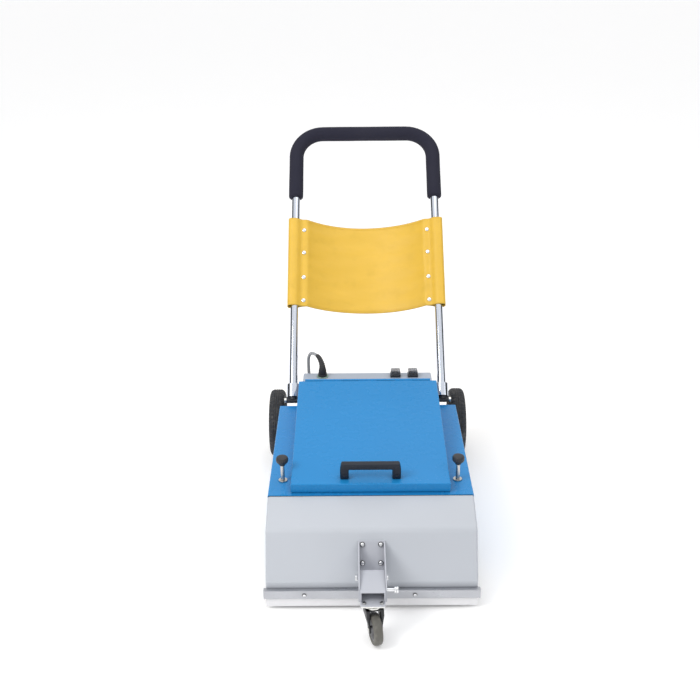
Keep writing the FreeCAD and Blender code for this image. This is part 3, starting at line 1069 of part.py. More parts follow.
def mains_lead():
    """Gasket, gland and bend relief on the control box, the lead, its coil and its plug."""
    base = BOX_TOP
    node("cable_gasket", ring_z(GASKET_R, 8.2, base, base + GASKET_THICK, GLAND_X, GLAND_Y))
    body = rod_z(GLAND_R, base + GASKET_THICK, GLAND_TOP, GLAND_X, GLAND_Y)
    flange = hexagon(26, (GLAND_X, GLAND_Y, base + GASKET_THICK), (0, 0, 1), 7)
    thread = rod_z(8, base - 10, base + GASKET_THICK + 1, GLAND_X, GLAND_Y)

    aim = heading(CORD_HEADING)
    foot = V(GLAND_X, GLAND_Y, GLAND_TOP)
    top = foot + V(0, 0, BOOT_BEND) + aim * BOOT_BEND
    bend = Part.Wire([arc_from(foot, foot + V(0, 0, BOOT_BEND), top)])
    boot = Part.BRepOffsetAPI.MakePipeShell(bend)
    boot.add(Part.Wire(Part.Circle(foot, V(0, 0, 1), GLAND_R - 1.5).toShape()))
    boot.add(Part.Wire(Part.Circle(top, aim, CORD_R + 1.2).toShape()))
    boot.build()
    boot.makeSolid()
    node("cable_gland", fused([body, flange, thread]), boot.shape())

    coil, coil_start, coil_end = coil_wire()
    print("coil least gap", round(own_gap(coil, 2 * CORD_R), 2), "length", round(coil.Length))
    node("mains_coil", swept(coil, CORD_R))

    floor = CORD_R
    side = coil_start.x
    stretch = [top, top + aim * 33, top + aim * 56.3 - V(0, 0, 23.3), top + aim * 58 - V(0, 0, 56),
               top + aim * 52 - V(0, 0, 120), V(-164, 806, 120), V(-150, 822, 45), V(-118, 852, 10),
               V(-72, 885, floor), V(-24, 915, floor), V(side - 5, 950, floor),
               V(side, 972, floor), coil_start]
    wire = routed(stretch)
    tube = swept(wire, CORD_R)
    print("lead length", round(wire.Length), "volume ratio",
          round(tube.Volume / (math.pi * CORD_R ** 2 * wire.Length), 4))
    node("mains_lead", tube)

    tail = [coil_end, coil_end + V(0, 26, 0), coil_end + V(12, 56, -5), coil_end + V(36, 84, -12),
            coil_end + V(68, 102, -18)]
    tail_wire = routed(tail)
    node("mains_tail", swept(tail_wire, CORD_R))
    print("whole lead", round(wire.Length + coil.Length + tail_wire.Length + math.pi / 2 * BOOT_BEND))
    plug_at = tail[-1]
    back = (tail[-1] - tail[-2]).normalize()
    aim_plug = V(back.x, back.y, 0).normalize()
    turn = math.degrees(math.atan2(aim_plug.y, aim_plug.x))
    height = plug_at.z
    body = box(0, 44, -17, 17, -height, -height + 27)
    body = body.makeFillet(5, body.Edges)
    neck = rod(CORD_R + 2, 30, (-8, 0, 0), (1, 0, 0))
    pins = [box(43, 62, y - 0.8, y + 0.8, -height + z - 3.2, -height + z + 3.2) for y, z in
            ((-7, 17), (7, 17))]
    pins.append(box(43, 64, -3.2, 3.2, -height + 5.2, -height + 6.8))
    plug = fused([body, neck])
    pins = [pin.cut(plug) for pin in pins]
    for shape in [plug] + pins:
        shape.rotate(V(0, 0, 0), V(0, 0, 1), turn)
        shape.translate(plug_at + aim_plug * 8)
    node("mains_plug", plug, *pins)


CORD_NODES = ("mains_lead", "mains_coil", "mains_tail", "mains_plug")


def main():
    """Build every piece, set the origin under the middle of the machine and export."""
    for build in (chassis, body_cover, lid, hood, caster, brush_head, adjusters, suction, control_box,
                  rear_wheels, handle, mains_lead):
        build()
    machine = [shape.optimalBoundingBox(False, False) for name, shape in NODES.items() if name not in CORD_NODES]
    front = min(b.YMin for b in machine)
    rear = max(b.YMax for b in machine)
    shift = V(0, -round((front + rear) / 2, 2), 0)
    print("nodes", len(NODES), "shift", shift.y, "front", round(front, 2), "rear", round(rear, 2))
    os.makedirs("parts", exist_ok=True)
    for name, shape in NODES.items():
        shape = shape.copy()
        shape.translate(shift)
        if not shape.isValid():
            print("invalid:", name)
        shape.exportStep("parts/" + name + ".step")


main()
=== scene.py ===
import json
import math
import sys

import bmesh
import bpy
from mathutils import Euler, Matrix, Vector
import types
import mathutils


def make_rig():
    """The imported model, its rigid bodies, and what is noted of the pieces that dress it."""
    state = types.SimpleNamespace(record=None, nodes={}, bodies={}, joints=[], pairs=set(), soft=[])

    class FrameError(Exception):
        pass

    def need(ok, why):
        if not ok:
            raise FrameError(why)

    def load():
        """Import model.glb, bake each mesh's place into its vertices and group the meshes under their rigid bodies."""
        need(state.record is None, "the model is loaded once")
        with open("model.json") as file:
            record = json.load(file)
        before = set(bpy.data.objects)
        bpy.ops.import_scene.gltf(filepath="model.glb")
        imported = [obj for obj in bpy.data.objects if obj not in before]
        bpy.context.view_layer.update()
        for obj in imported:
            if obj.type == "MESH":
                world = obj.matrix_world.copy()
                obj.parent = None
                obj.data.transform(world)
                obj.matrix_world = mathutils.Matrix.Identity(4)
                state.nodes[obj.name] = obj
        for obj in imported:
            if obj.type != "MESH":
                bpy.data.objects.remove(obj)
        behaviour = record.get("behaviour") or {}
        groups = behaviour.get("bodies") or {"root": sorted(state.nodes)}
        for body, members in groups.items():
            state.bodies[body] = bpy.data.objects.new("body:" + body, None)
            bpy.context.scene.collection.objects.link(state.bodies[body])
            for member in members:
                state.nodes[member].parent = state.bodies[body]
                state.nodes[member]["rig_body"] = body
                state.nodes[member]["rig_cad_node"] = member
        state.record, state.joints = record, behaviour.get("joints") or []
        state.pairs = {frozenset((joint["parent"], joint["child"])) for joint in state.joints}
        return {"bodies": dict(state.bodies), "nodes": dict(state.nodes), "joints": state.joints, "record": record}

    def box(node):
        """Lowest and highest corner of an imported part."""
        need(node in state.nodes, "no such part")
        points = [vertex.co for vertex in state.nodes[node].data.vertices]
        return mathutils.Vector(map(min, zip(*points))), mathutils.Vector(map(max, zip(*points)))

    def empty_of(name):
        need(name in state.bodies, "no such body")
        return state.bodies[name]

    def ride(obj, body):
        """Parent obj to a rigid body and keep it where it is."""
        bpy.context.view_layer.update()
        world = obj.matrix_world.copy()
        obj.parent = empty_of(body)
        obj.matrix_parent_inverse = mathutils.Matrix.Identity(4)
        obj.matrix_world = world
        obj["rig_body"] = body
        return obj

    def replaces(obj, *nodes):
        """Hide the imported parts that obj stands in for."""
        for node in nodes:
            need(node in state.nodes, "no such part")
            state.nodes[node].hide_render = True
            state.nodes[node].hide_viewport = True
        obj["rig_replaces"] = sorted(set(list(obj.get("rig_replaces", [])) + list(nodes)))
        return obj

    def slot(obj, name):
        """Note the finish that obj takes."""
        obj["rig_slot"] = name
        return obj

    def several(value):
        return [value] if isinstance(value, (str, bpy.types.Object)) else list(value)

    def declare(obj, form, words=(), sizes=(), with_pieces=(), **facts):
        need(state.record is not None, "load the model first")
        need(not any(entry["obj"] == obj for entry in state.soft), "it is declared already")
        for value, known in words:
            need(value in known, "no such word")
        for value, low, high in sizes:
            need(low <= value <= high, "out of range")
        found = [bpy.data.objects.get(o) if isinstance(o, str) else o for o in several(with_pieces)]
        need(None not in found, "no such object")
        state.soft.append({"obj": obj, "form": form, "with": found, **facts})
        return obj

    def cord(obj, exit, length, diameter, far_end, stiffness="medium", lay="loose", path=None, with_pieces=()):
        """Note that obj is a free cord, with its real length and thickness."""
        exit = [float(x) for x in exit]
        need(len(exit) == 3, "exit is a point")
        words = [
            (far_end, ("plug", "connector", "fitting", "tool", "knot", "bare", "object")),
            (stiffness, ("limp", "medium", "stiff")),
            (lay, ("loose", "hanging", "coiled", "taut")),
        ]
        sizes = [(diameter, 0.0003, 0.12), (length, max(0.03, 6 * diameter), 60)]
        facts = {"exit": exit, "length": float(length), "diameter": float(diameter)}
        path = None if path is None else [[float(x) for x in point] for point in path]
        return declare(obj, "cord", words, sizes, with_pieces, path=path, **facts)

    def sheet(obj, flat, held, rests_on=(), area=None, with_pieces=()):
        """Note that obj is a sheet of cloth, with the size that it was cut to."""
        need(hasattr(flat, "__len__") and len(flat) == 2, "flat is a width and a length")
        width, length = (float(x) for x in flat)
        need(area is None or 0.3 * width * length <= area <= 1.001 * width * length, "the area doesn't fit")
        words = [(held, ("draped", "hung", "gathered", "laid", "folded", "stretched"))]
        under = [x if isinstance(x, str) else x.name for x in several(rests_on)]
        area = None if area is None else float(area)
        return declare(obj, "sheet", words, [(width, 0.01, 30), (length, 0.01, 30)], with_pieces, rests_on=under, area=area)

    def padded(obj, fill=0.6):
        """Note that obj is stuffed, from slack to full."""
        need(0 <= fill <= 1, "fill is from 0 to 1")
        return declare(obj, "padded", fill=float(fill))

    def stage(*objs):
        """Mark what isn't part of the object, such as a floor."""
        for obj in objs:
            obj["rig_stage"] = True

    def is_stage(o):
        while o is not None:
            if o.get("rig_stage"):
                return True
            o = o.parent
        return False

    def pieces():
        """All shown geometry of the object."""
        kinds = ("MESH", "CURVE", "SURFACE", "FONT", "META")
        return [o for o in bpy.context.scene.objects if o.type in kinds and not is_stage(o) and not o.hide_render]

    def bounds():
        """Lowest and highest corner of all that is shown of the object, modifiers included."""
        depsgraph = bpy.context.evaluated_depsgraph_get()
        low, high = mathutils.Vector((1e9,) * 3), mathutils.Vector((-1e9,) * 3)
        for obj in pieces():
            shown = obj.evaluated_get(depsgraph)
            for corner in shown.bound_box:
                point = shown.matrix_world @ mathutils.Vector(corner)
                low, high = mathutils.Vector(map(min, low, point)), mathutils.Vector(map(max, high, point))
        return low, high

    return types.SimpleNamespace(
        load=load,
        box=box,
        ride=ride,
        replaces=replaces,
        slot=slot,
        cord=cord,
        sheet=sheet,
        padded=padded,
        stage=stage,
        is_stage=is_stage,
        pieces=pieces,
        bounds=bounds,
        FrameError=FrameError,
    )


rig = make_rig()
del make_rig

bl_info = {
    "name": "Escalator Cleaning Machine",
    "version": (1, 0, 0),
    "blender": (4, 5, 0),
    "location": "View3D > Sidebar > Step Cleaner",
    "description": "Builds the looks of a step cleaning machine round its packed frame",
    "category": "Object",
}

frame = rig.load()
NODES = frame["nodes"]

# The part's own drawing counts its depth from the front skirt, and the frame from its middle.
FRAME_SHIFT = -0.58631


def at(x, y, z):
    """A point of the part's drawing, in millimetres, as a point of the frame, in metres."""
    return Vector((x / 1000, y / 1000 + FRAME_SHIFT, z / 1000))


# Shared steps.


def deselect():
    if bpy.context.object and bpy.context.object.mode != "OBJECT":
        bpy.ops.object.mode_set(mode="OBJECT")
    bpy.ops.object.select_all(action="DESELECT")


def choose(obj):
    deselect()
    obj.select_set(True)
    bpy.context.view_layer.objects.active = obj


def settle(obj, name):
    """Names a piece and moves its place into its mesh."""
    choose(obj)
    bpy.ops.object.transform_apply(location=True, rotation=True, scale=True)
    obj.name = name
    obj.data.name = name
    return obj


def apply_all(obj):
    choose(obj)
    for modifier in list(obj.modifiers):
        bpy.ops.object.modifier_apply(modifier=modifier.name)


def joined(objs, name):
    deselect()
    for o in objs:
        o.select_set(True)
    bpy.context.view_layer.objects.active = objs[0]
    if len(objs) > 1:
        bpy.ops.object.join()
    result = bpy.context.view_layer.objects.active
    result.name = name
    result.data.name = name
    return result


def smooth(obj, degrees=35):
    choose(obj)
    bpy.ops.object.shade_smooth_by_angle(angle=math.radians(degrees))


def paint(obj, material):
    obj.data.materials.clear()
    obj.data.materials.append(material)


def outward(obj):
    """Merges doubles and turns every face outwards."""
    choose(obj)
    bpy.ops.object.mode_set(mode="EDIT")
    bpy.ops.mesh.select_all(action="SELECT")
    bpy.ops.mesh.remove_doubles(threshold=0.00001)
    bpy.ops.mesh.normals_make_consistent(inside=False)
    bpy.ops.object.mode_set(mode="OBJECT")


def pick(obj, test, kind="FACE"):
    """Selects in edit mode what the test accepts, by its middle and its normal."""
    choose(obj)
    bpy.ops.object.mode_set(mode="EDIT")
    bpy.ops.mesh.select_mode(type=kind)
    bpy.ops.mesh.select_all(action="DESELECT")
    mesh = bmesh.from_edit_mesh(obj.data)
    if kind == "FACE":
        for face in mesh.faces:
            face.select_set(test(face.calc_center_median(), face.normal))
    elif kind == "EDGE":
        for edge in mesh.edges:
            middle = (edge.verts[0].co + edge.verts[1].co) / 2
            line = edge.verts[1].co - edge.verts[0].co
            edge.select_set(test(middle, line.normalized()))
    else:
        for vert in mesh.verts:
            vert.select_set(test(vert.co, vert.normal))
    mesh.select_flush_mode()
    bmesh.update_edit_mesh(obj.data)


def done(obj):
    choose(obj)
    bpy.ops.object.mode_set(mode="OBJECT")


# Materials.


class Shader:
    """One procedural material, built from patterns on Object coordinates or on the piece's own UV map."""

    def __init__(self, name, colour, roughness, metallic=0.0, source="Object", gloss=0.5):
        self.material = bpy.data.materials.new(name)
        self.material.use_nodes = True
        self.tree = self.material.node_tree
        self.surface = self.tree.nodes["Principled BSDF"]
        self.surface.inputs["Metallic"].default_value = metallic
        self.surface.inputs["Specular IOR Level"].default_value = gloss
        self.place = self.tree.nodes.new("ShaderNodeTexCoord").outputs[source]
        self.colour = self.constant_colour(colour)
        self.rough = self.constant(roughness)
        self.height = None
        self.material.diffuse_color = (*colour, 1)

    def add(self, kind):
        return self.tree.nodes.new("ShaderNode" + kind)

    def join(self, start, end):
        self.tree.links.new(start, end)

    def constant_colour(self, colour):
        node = self.add("RGB")
        node.outputs[0].default_value = (*colour, 1)
        return node.outputs[0]

    def constant(self, value):
        node = self.add("Value")
        node.outputs[0].default_value = value
        return node.outputs[0]

    def placed(self, scale):
        node = self.add("Mapping")
        node.inputs["Scale"].default_value = scale
        self.join(self.place, node.inputs["Vector"])
        return node.outputs[0]

    def noise(self, scale, detail=3.0, stretch=(1, 1, 1), low=0.35, high=0.65):
        node = self.add("TexNoise")
        node.inputs["Scale"].default_value = scale
        node.inputs["Detail"].default_value = detail
        self.join(self.placed(stretch), node.inputs["Vector"])
        return self.spread(node.outputs["Fac"], low, high)

    def cells(self, scale, stretch=(1, 1, 1), feature="F1", low=0.0, high=1.0):
        node = self.add("TexVoronoi")
        node.feature = feature
        node.inputs["Scale"].default_value = scale
        self.join(self.placed(stretch), node.inputs["Vector"])
        return self.spread(node.outputs["Distance"], low, high)

    def bands(self, scale, direction="X", distortion=0.0, stretch=(1, 1, 1)):
        node = self.add("TexWave")
        node.bands_direction = direction
        node.inputs["Scale"].default_value = scale
        node.inputs["Distortion"].default_value = distortion
        self.join(self.placed(stretch), node.inputs["Vector"])
        return node.outputs["Fac"]

    def spread(self, value, low, high, to_low=0.0, to_high=1.0):
        node = self.add("MapRange")
        node.inputs["From Min"].default_value = low
        node.inputs["From Max"].default_value = high
        node.inputs["To Min"].default_value = to_low
        node.inputs["To Max"].default_value = to_high
        self.join(value, node.inputs["Value"])
        return node.outputs["Result"]

    def math(self, operation, first, second):
        node = self.add("Math")
        node.operation = operation
        self.join(first, node.inputs[0])
        if isinstance(second, (int, float)):
            node.inputs[1].default_value = second
        else:
            self.join(second, node.inputs[1])
        return node.outputs[0]

    def tint(self, mask, colour, strength):
        """Mixes another colour in where the mask is bright."""
        node = self.add("MixRGB")
        self.join(self.math("MULTIPLY", mask, strength), node.inputs["Fac"])
        self.join(self.colour, node.inputs["Color1"])
        node.inputs["Color2"].default_value = (*colour, 1)
        self.colour = node.outputs[0]
        return self

    def vary_rough(self, mask, amount):
        centred = self.math("SUBTRACT", mask, 0.5)
        self.rough = self.math("ADD", self.rough, self.math("MULTIPLY", centred, amount))
        return self

    def relief(self, mask, depth):
        """Adds a pattern to the height, in metres."""
        scaled = self.math("MULTIPLY", mask, depth)
        self.height = scaled if self.height is None else self.math("ADD", self.height, scaled)
        return self

    def corners(self, darker, strength, reach=0.02):
        """Tints corners and recesses found by ambient occlusion: a darker tone there is painted shade, a lighter tone
        is dust in the low places.
        """
        node = self.add("AmbientOcclusion")
        node.inputs["Distance"].default_value = reach
        hidden = self.spread(node.outputs["AO"], 0.35, 0.95, 1.0, 0.0)
        return self.tint(hidden, darker, strength)

    def finish(self):
        self.join(self.colour, self.surface.inputs["Base Color"])
        self.join(self.rough, self.surface.inputs["Roughness"])
        if self.height is not None:
            node = self.add("Bump")
            node.inputs["Distance"].default_value = 1.0
            node.inputs["Strength"].default_value = 1.0
            self.join(self.height, node.inputs["Height"])
            self.join(node.outputs["Normal"], self.surface.inputs["Normal"])
        return self.material


def shade(colour, factor):
    return tuple(min(1.0, c * factor) for c in colour)


def powder_coat(name, colour, roughness=0.42, scuffs=0.12, gloss=0.5):
    """Baked paint: orange peel, faint clouding, fine scuffs."""
    s = Shader(name, colour, roughness, gloss=gloss)
    peel = s.noise(700, 1)
    cloud = s.noise(4, 2)
    scuff = s.noise(70, 6, (1, 0.3, 1), 0.66, 0.76)
    dust = s.noise(30, 5, low=0.5, high=0.8)
    s.tint(cloud, shade(colour, 0.95), 0.6)
    s.tint(scuff, shade(colour, 1.12), scuffs)
    s.vary_rough(dust, 0.05).vary_rough(scuff, 0.015)
    s.relief(peel, 0.00001)
    # Painted shade: corners and recesses darken to a deeper tone of the paint.
    return s.corners(shade(colour, 0.55), 0.35).finish()


def brushed_metal(name, colour, roughness=0.34, along=(1, 60, 60), marks=0.3):
    """Drawn or rolled metal: fine lines along it, dull patches, nicks."""
    s = Shader(name, colour, roughness, 1.0)
    lines = s.noise(34, 6, along, 0.3, 0.7)
    patch = s.noise(18, 4)
    nick = s.noise(240, 3, low=0.66, high=0.74)
    s.tint(patch, shade(colour, 0.86), marks)
    s.tint(lines, shade(colour, 0.92), 0.35)
    s.tint(nick, shade(colour, 0.6), 0.25)
    s.vary_rough(lines, 0.16).vary_rough(patch, 0.14)
    s.relief(lines, 0.000012).relief(nick, -0.00002)
    # Painted shade: corners and recesses darken to a deep tone of the metal.
    return s.corners(shade(colour, 0.35), 0.5, 0.008).finish()


def plated_steel(name, colour=(0.71, 0.71, 0.68), roughness=0.26):
    """Zinc plate: soft spangle, slight yellowing, dull rubs."""
    s = Shader(name, colour, roughness, 1.0)
    spangle = s.cells(420, low=0.0, high=0.9)
    rub = s.noise(70, 5)
    s.tint(spangle, shade(colour, 0.85), 0.25)
    s.tint(rub, (0.62, 0.6, 0.5), 0.18)
    s.vary_rough(rub, 0.22).vary_rough(spangle, 0.06)
    s.relief(rub, 0.000015)
    # Painted shade: corners and recesses darken to a dark brown-grey.
    return s.corners((0.2, 0.19, 0.17), 0.5, 0.006).finish()


def chrome(name, colour=(0.78, 0.79, 0.81), roughness=0.1):
    """Bright chrome: smudges, hairline polishing marks."""
    s = Shader(name, colour, roughness, 1.0)
    smudge = s.noise(26, 5, low=0.4, high=0.7)
    hair = s.noise(40, 4, (1, 50, 50), 0.4, 0.7)
    s.tint(smudge, shade(colour, 0.93), 0.3)
    s.vary_rough(smudge, 0.12).vary_rough(hair, 0.05)
    s.relief(hair, 0.000004)
    # Painted shade: corners and recesses darken to a dark grey.
    return s.corners((0.25, 0.25, 0.26), 0.35, 0.006).finish()


def moulded(name, colour, roughness=0.5, grain=1500, depth=0.00003, gloss=0.5):
    """Moulded plastic: spark-eroded grain, flow clouding, rubbed places."""
    s = Shader(name, colour, roughness, gloss=gloss)
    texture = s.noise(grain, 2)
    flow = s.noise(9, 2, (1, 1, 0.4))
    rub = s.noise(45, 6, low=0.55, high=0.72)
    s.tint(flow, shade(colour, 0.9), 0.5)
    s.tint(rub, shade(colour, 1.25), 0.15)
    s.vary_rough(rub, -0.15).vary_rough(texture, 0.08)
    s.relief(texture, depth)
    # Painted shade: corners and recesses darken to a deeper tone of the plastic.
    return s.corners(shade(colour, 0.45), 0.4, 0.01).finish()


def rubber(name, colour, roughness=0.68, dust=0.2):
    """Black or grey rubber: matt bloom, mould grain, dust in the low places."""
    s = Shader(name, colour, roughness)
    grain = s.noise(1900, 2)
    bloom = s.noise(22, 5)
    dirt = s.noise(80, 6, low=0.52, high=0.7)
    s.tint(bloom, shade(colour, 1.45), 0.4)
    s.tint(dirt, (0.3, 0.28, 0.25), dust * 0.5)
    s.vary_rough(bloom, 0.14)
    s.relief(grain, 0.00003).relief(dirt, 0.00002)
    return s.corners((0.16, 0.15, 0.14), 0.25, 0.01).finish()


def brush_hair(name, colour):
    """Nylon hair: each strand has its own tone and gloss, with dusty clumps."""
    s = Shader(name, colour, 0.5)
    strand = s.noise(700, 2)
    clump = s.noise(90, 3)
    s.tint(strand, shade(colour, 0.45), 0.7)
    s.tint(clump, (0.2, 0.18, 0.15), 0.25)
    s.vary_rough(strand, 0.2)
    s.relief(strand, 0.0002)
    # Painted shade: the hair darkens in corners, recesses and between the tufts.
    return s.corners(shade(colour, 0.3), 0.5, 0.01).finish()


def foam_skin(name, colour):
    """Closed cell foam: a fine skin with open pores and a palm-worn sheen."""
    s = Shader(name, colour, 0.86, gloss=0.25)
    pores = s.cells(620, low=0.05, high=0.5)
    grain = s.noise(1700, 2)
    worn = s.noise(12, 3)
    s.tint(pores, shade(colour, 1.5), 0.5)
    s.tint(worn, shade(colour, 1.3), 0.35)
    s.vary_rough(worn, 0.12)
    s.relief(pores, 0.00025).relief(grain, 0.0001)
    # Painted shade: corners and recesses darken to a deeper tone of the foam.
    return s.corners(shade(colour, 0.5), 0.3, 0.01).finish()


def clear_boot(name):
    """Clear silicone switch boot, a little smoky and hazy."""
    s = Shader(name, (0.5, 0.51, 0.54), 0.12)
    haze = s.noise(60, 4)
    s.tint(haze, (0.42, 0.42, 0.43), 0.3)
    s.vary_rough(haze, 0.1)
    s.relief(s.noise(400, 2), 0.000002)
    s.surface.inputs["Transmission Weight"].default_value = 0.92
    s.surface.inputs["IOR"].default_value = 1.41
    return s.finish()


def coated_cloth(name, colour):
    """Vinyl coated cloth: the weave shows through as a fine grid on the piece's own UV map, in metres."""
    s = Shader(name, colour, 0.42, source="UV")
    warp = s.bands(330, "X")
    weft = s.bands(330, "Y")
    weave = s.math("MULTIPLY", warp, weft)
    crease = s.noise(9, 5, (1, 2.4, 1), 0.42, 0.7)
    grime = s.noise(24, 7, (1, 1, 1), 0.55, 0.75)
    s.tint(weave, shade(colour, 0.9), 0.35)
    s.tint(crease, shade(colour, 1.12), 0.35)
    s.tint(grime, shade(colour, 0.72), 0.2)
    s.vary_rough(crease, -0.1).vary_rough(grime, 0.15)
    s.relief(weave, 0.00012).relief(crease, 0.0006)
    # Painted shade: the cloth darkens in corners and recesses.
    return s.corners(shade(colour, 0.6), 0.35, 0.02).finish()


def jacket(name, colour):
    """Cord jacket: smooth soft plastic with a faint lay and scuffs."""
    s = Shader(name, colour, 0.5)
    lay = s.noise(160, 3)
    scuff = s.noise(300, 5, low=0.62, high=0.74)
    s.tint(lay, shade(colour, 0.88), 0.5)
    s.tint(scuff, shade(colour, 0.65), 0.3)
    s.vary_rough(lay, 0.14).vary_rough(scuff, 0.1)
    s.relief(lay, 0.00006)
    # Painted shade: the jacket darkens in corners and recesses.
    return s.corners(shade(colour, 0.45), 0.45, 0.01).finish()


class StepCleanerColours(bpy.types.PropertyGroup):
    body: bpy.props.FloatVectorProperty(
        name="Body", description="Paint of the body and its lid", subtype="COLOR", size=3,
        default=(0.014, 0.22, 0.53), min=0, max=1)
    hood: bpy.props.FloatVectorProperty(
        name="Hood", description="Paint of the front hood and its bracket", subtype="COLOR", size=3,
        default=(0.47, 0.495, 0.54), min=0, max=1)
    sling: bpy.props.FloatVectorProperty(
        name="Sling", description="Coated cloth between the handle tubes", subtype="COLOR", size=3,
        default=(0.71, 0.44, 0.043), min=0, max=1)
    box: bpy.props.FloatVectorProperty(
        name="Control box", description="Paint of the control box", subtype="COLOR", size=3,
        default=(0.34, 0.385, 0.46), min=0, max=1)
    rubber: bpy.props.FloatVectorProperty(
        name="Rubber", description="Tyres and belts", subtype="COLOR", size=3,
        default=(0.014, 0.016, 0.021), min=0, max=1)
    cord: bpy.props.FloatVectorProperty(
        name="Cord", description="Jacket of the mains cord", subtype="COLOR", size=3,
        default=(0.3, 0.31, 0.33), min=0, max=1)


class StepCleanerSizes(bpy.types.PropertyGroup):
    cord_across: bpy.props.FloatProperty(
        name="Cord", description="Diameter of the mains cord", default=0.009, unit="LENGTH")
    tread_blocks: bpy.props.IntProperty(
        name="Tread blocks", description="Grooves round each rear tyre", default=48, min=12, max=90)
    tuft_rows: bpy.props.IntProperty(
        name="Tuft rows", description="Rows of tufts along each brush", default=22, min=6, max=40)
    tread_depth: bpy.props.FloatProperty(
        name="Tread depth", description="Depth of the grooves in the rear tyres", default=0.0022,
        unit="LENGTH")


def colours():
    return bpy.context.scene.step_cleaner_colours


def sizes():
    return bpy.context.scene.step_cleaner_sizes


def make_materials():
    """All finishes by name. Made once, at the first call."""
    if MATERIALS:
        return MATERIALS
    c = colours()
    steel = (0.56, 0.55, 0.53)
    MATERIALS.update({
        "blue": powder_coat("body_paint", tuple(c.body), 0.3, 0.12, 0.3),
        "hood": powder_coat("hood_paint", tuple(c.hood), 0.38),
        "bracket": powder_coat("bracket_paint", (0.46, 0.475, 0.525), 0.33),
        "box": powder_coat("box_paint", tuple(c.box), 0.4),
        "frame": powder_coat("frame_paint", (0.06, 0.065, 0.075), 0.5, 0.25),
        "strip": brushed_metal("strip_aluminium", (0.47, 0.48, 0.51), 0.36),
        "bright": chrome("bright_chrome"),
        "tube": chrome("tube_chrome", (0.64, 0.68, 0.76), 0.13),
        "zinc": plated_steel("zinc_plate"),
        "pale_zinc": plated_steel("bolt_zinc", (0.78, 0.78, 0.76), 0.22),
        "steel": brushed_metal("machined_steel", steel, 0.3, (60, 60, 1)),
        "dark_steel": brushed_metal("dark_steel", (0.17, 0.17, 0.18), 0.42),
        "black_plastic": moulded("black_plastic", (0.018, 0.02, 0.026), 0.42),
        "fork": moulded("fork_nylon", (0.012, 0.013, 0.016), 0.3, 900, 0.00002),
        "handle_plastic": moulded("handle_plastic", (0.01, 0.015, 0.026), 0.26, 1100, 0.00001, 0.3),
        "grey_plastic": moulded("grey_plastic", (0.2, 0.2, 0.21), 0.5),
        "pale_skirt": moulded("skirt_plastic", (0.78, 0.78, 0.8), 0.45, 900, 0.00003),
        "green_washer": moulded("gasket_plastic", (0.28, 0.4, 0.33), 0.5),
        "tyre": rubber("tyre_rubber", tuple(c.rubber), 0.66, 0.35),
        "caster_tyre": rubber("caster_rubber", (0.1, 0.097, 0.085), 0.55, 0.5),
        "soft_black": rubber("soft_rubber", (0.02, 0.02, 0.022), 0.6, 0.1),
        "hair": brush_hair("brush_nylon", (0.08, 0.08, 0.085)),
        "foam": foam_skin("grip_foam", (0.016, 0.016, 0.028)),
        "boot": clear_boot("clear_silicone"),
        "cloth": coated_cloth("sling_cloth", tuple(c.sling)),
        "thread": moulded("sling_thread", (0.82, 0.5, 0.06), 0.6, 2400, 0.00005),
        "cord": jacket("cord_jacket", tuple(c.cord)),
    })
    return MATERIALS


MATERIALS = {}

# Which finish each piece of the frame wears, with the record's slot left as it stands.
BODY_FINISH = {
    "blue": ("body_cover", "lid", "hinge_body_leaf", "hinge_lid_leaf"),
    "hood": ("hood",),
    "bracket": ("caster_bracket",),
    "strip": ("skirt_strip",),
    "pale_skirt": ("front_skirt",),
    "box": ("control_box",),
    "frame": ("chassis_frame", "axle_plates", "brush_head_frame"),
    "soft_black": ("lid_seal",),
}
METAL_FINISH = {
    "pale_zinc": ("front_fasteners", "caster_plate"),
    "bracket": ("caster_arm",),
    "zinc": ("rear_axle", "pivot_bolts"),
    "bright": ("lock_pin",),
    "tube": ("handle_tube", "handle_sleeves"),
    "steel": ("brush_bearings", "motor_pulley", "adjuster_bushes"),
}
INNER_FINISH = {
    "grey_plastic": ("front_brush_core", "rear_brush_core", "suction_duct", "dust_bin", "dust_filter",
                     "suction_fan", "control_gear", "switch_bodies"),
    "dark_steel": ("brush_motor", "suction_motor"),
    "black_plastic": ("wheel_rim_left", "wheel_rim_right", "handle_knuckles"),
    "soft_black": ("drive_belt",),
    "green_washer": ("cable_gasket",),
}


def dress(table):
    """Gives CAD pieces their finish and smooth shading. Their own corners stay where they are."""
    made = make_materials()
    deselect()
    for finish, names in table.items():
        for name in names:
            piece = NODES[name]
            paint(piece, made[finish])
            piece.data.shade_smooth()
            weld = piece.modifiers.new("Weld", "WELD")
            weld.merge_threshold = 0.000002
            split = piece.modifiers.new("Sharp edges", "EDGE_SPLIT")
            split.split_angle = math.radians(28)


class STEPCLEANER_OT_body(bpy.types.Operator):
    """Dresses the painted body, hood, bracket, strip and control box"""
    bl_idname = "stepcleaner.body"
    bl_label = "Body and Hood"

    def execute(self, context):
        dress(BODY_FINISH)
        return {"FINISHED"}


class STEPCLEANER_OT_metalwork(bpy.types.Operator):
    """Dresses the bolts, arm, tube, pins and bearings"""
    bl_idname = "stepcleaner.metalwork"
    bl_label = "Metalwork"

    def execute(self, context):
        dress(METAL_FINISH)
        return {"FINISHED"}


class STEPCLEANER_OT_inside(bpy.types.Operator):
    """Dresses the motors, bin, duct, filter and other pieces inside"""
    bl_idname = "stepcleaner.inside"
    bl_label = "Inside"

    def execute(self, context):
        dress(INNER_FINISH)
        return {"FINISHED"}


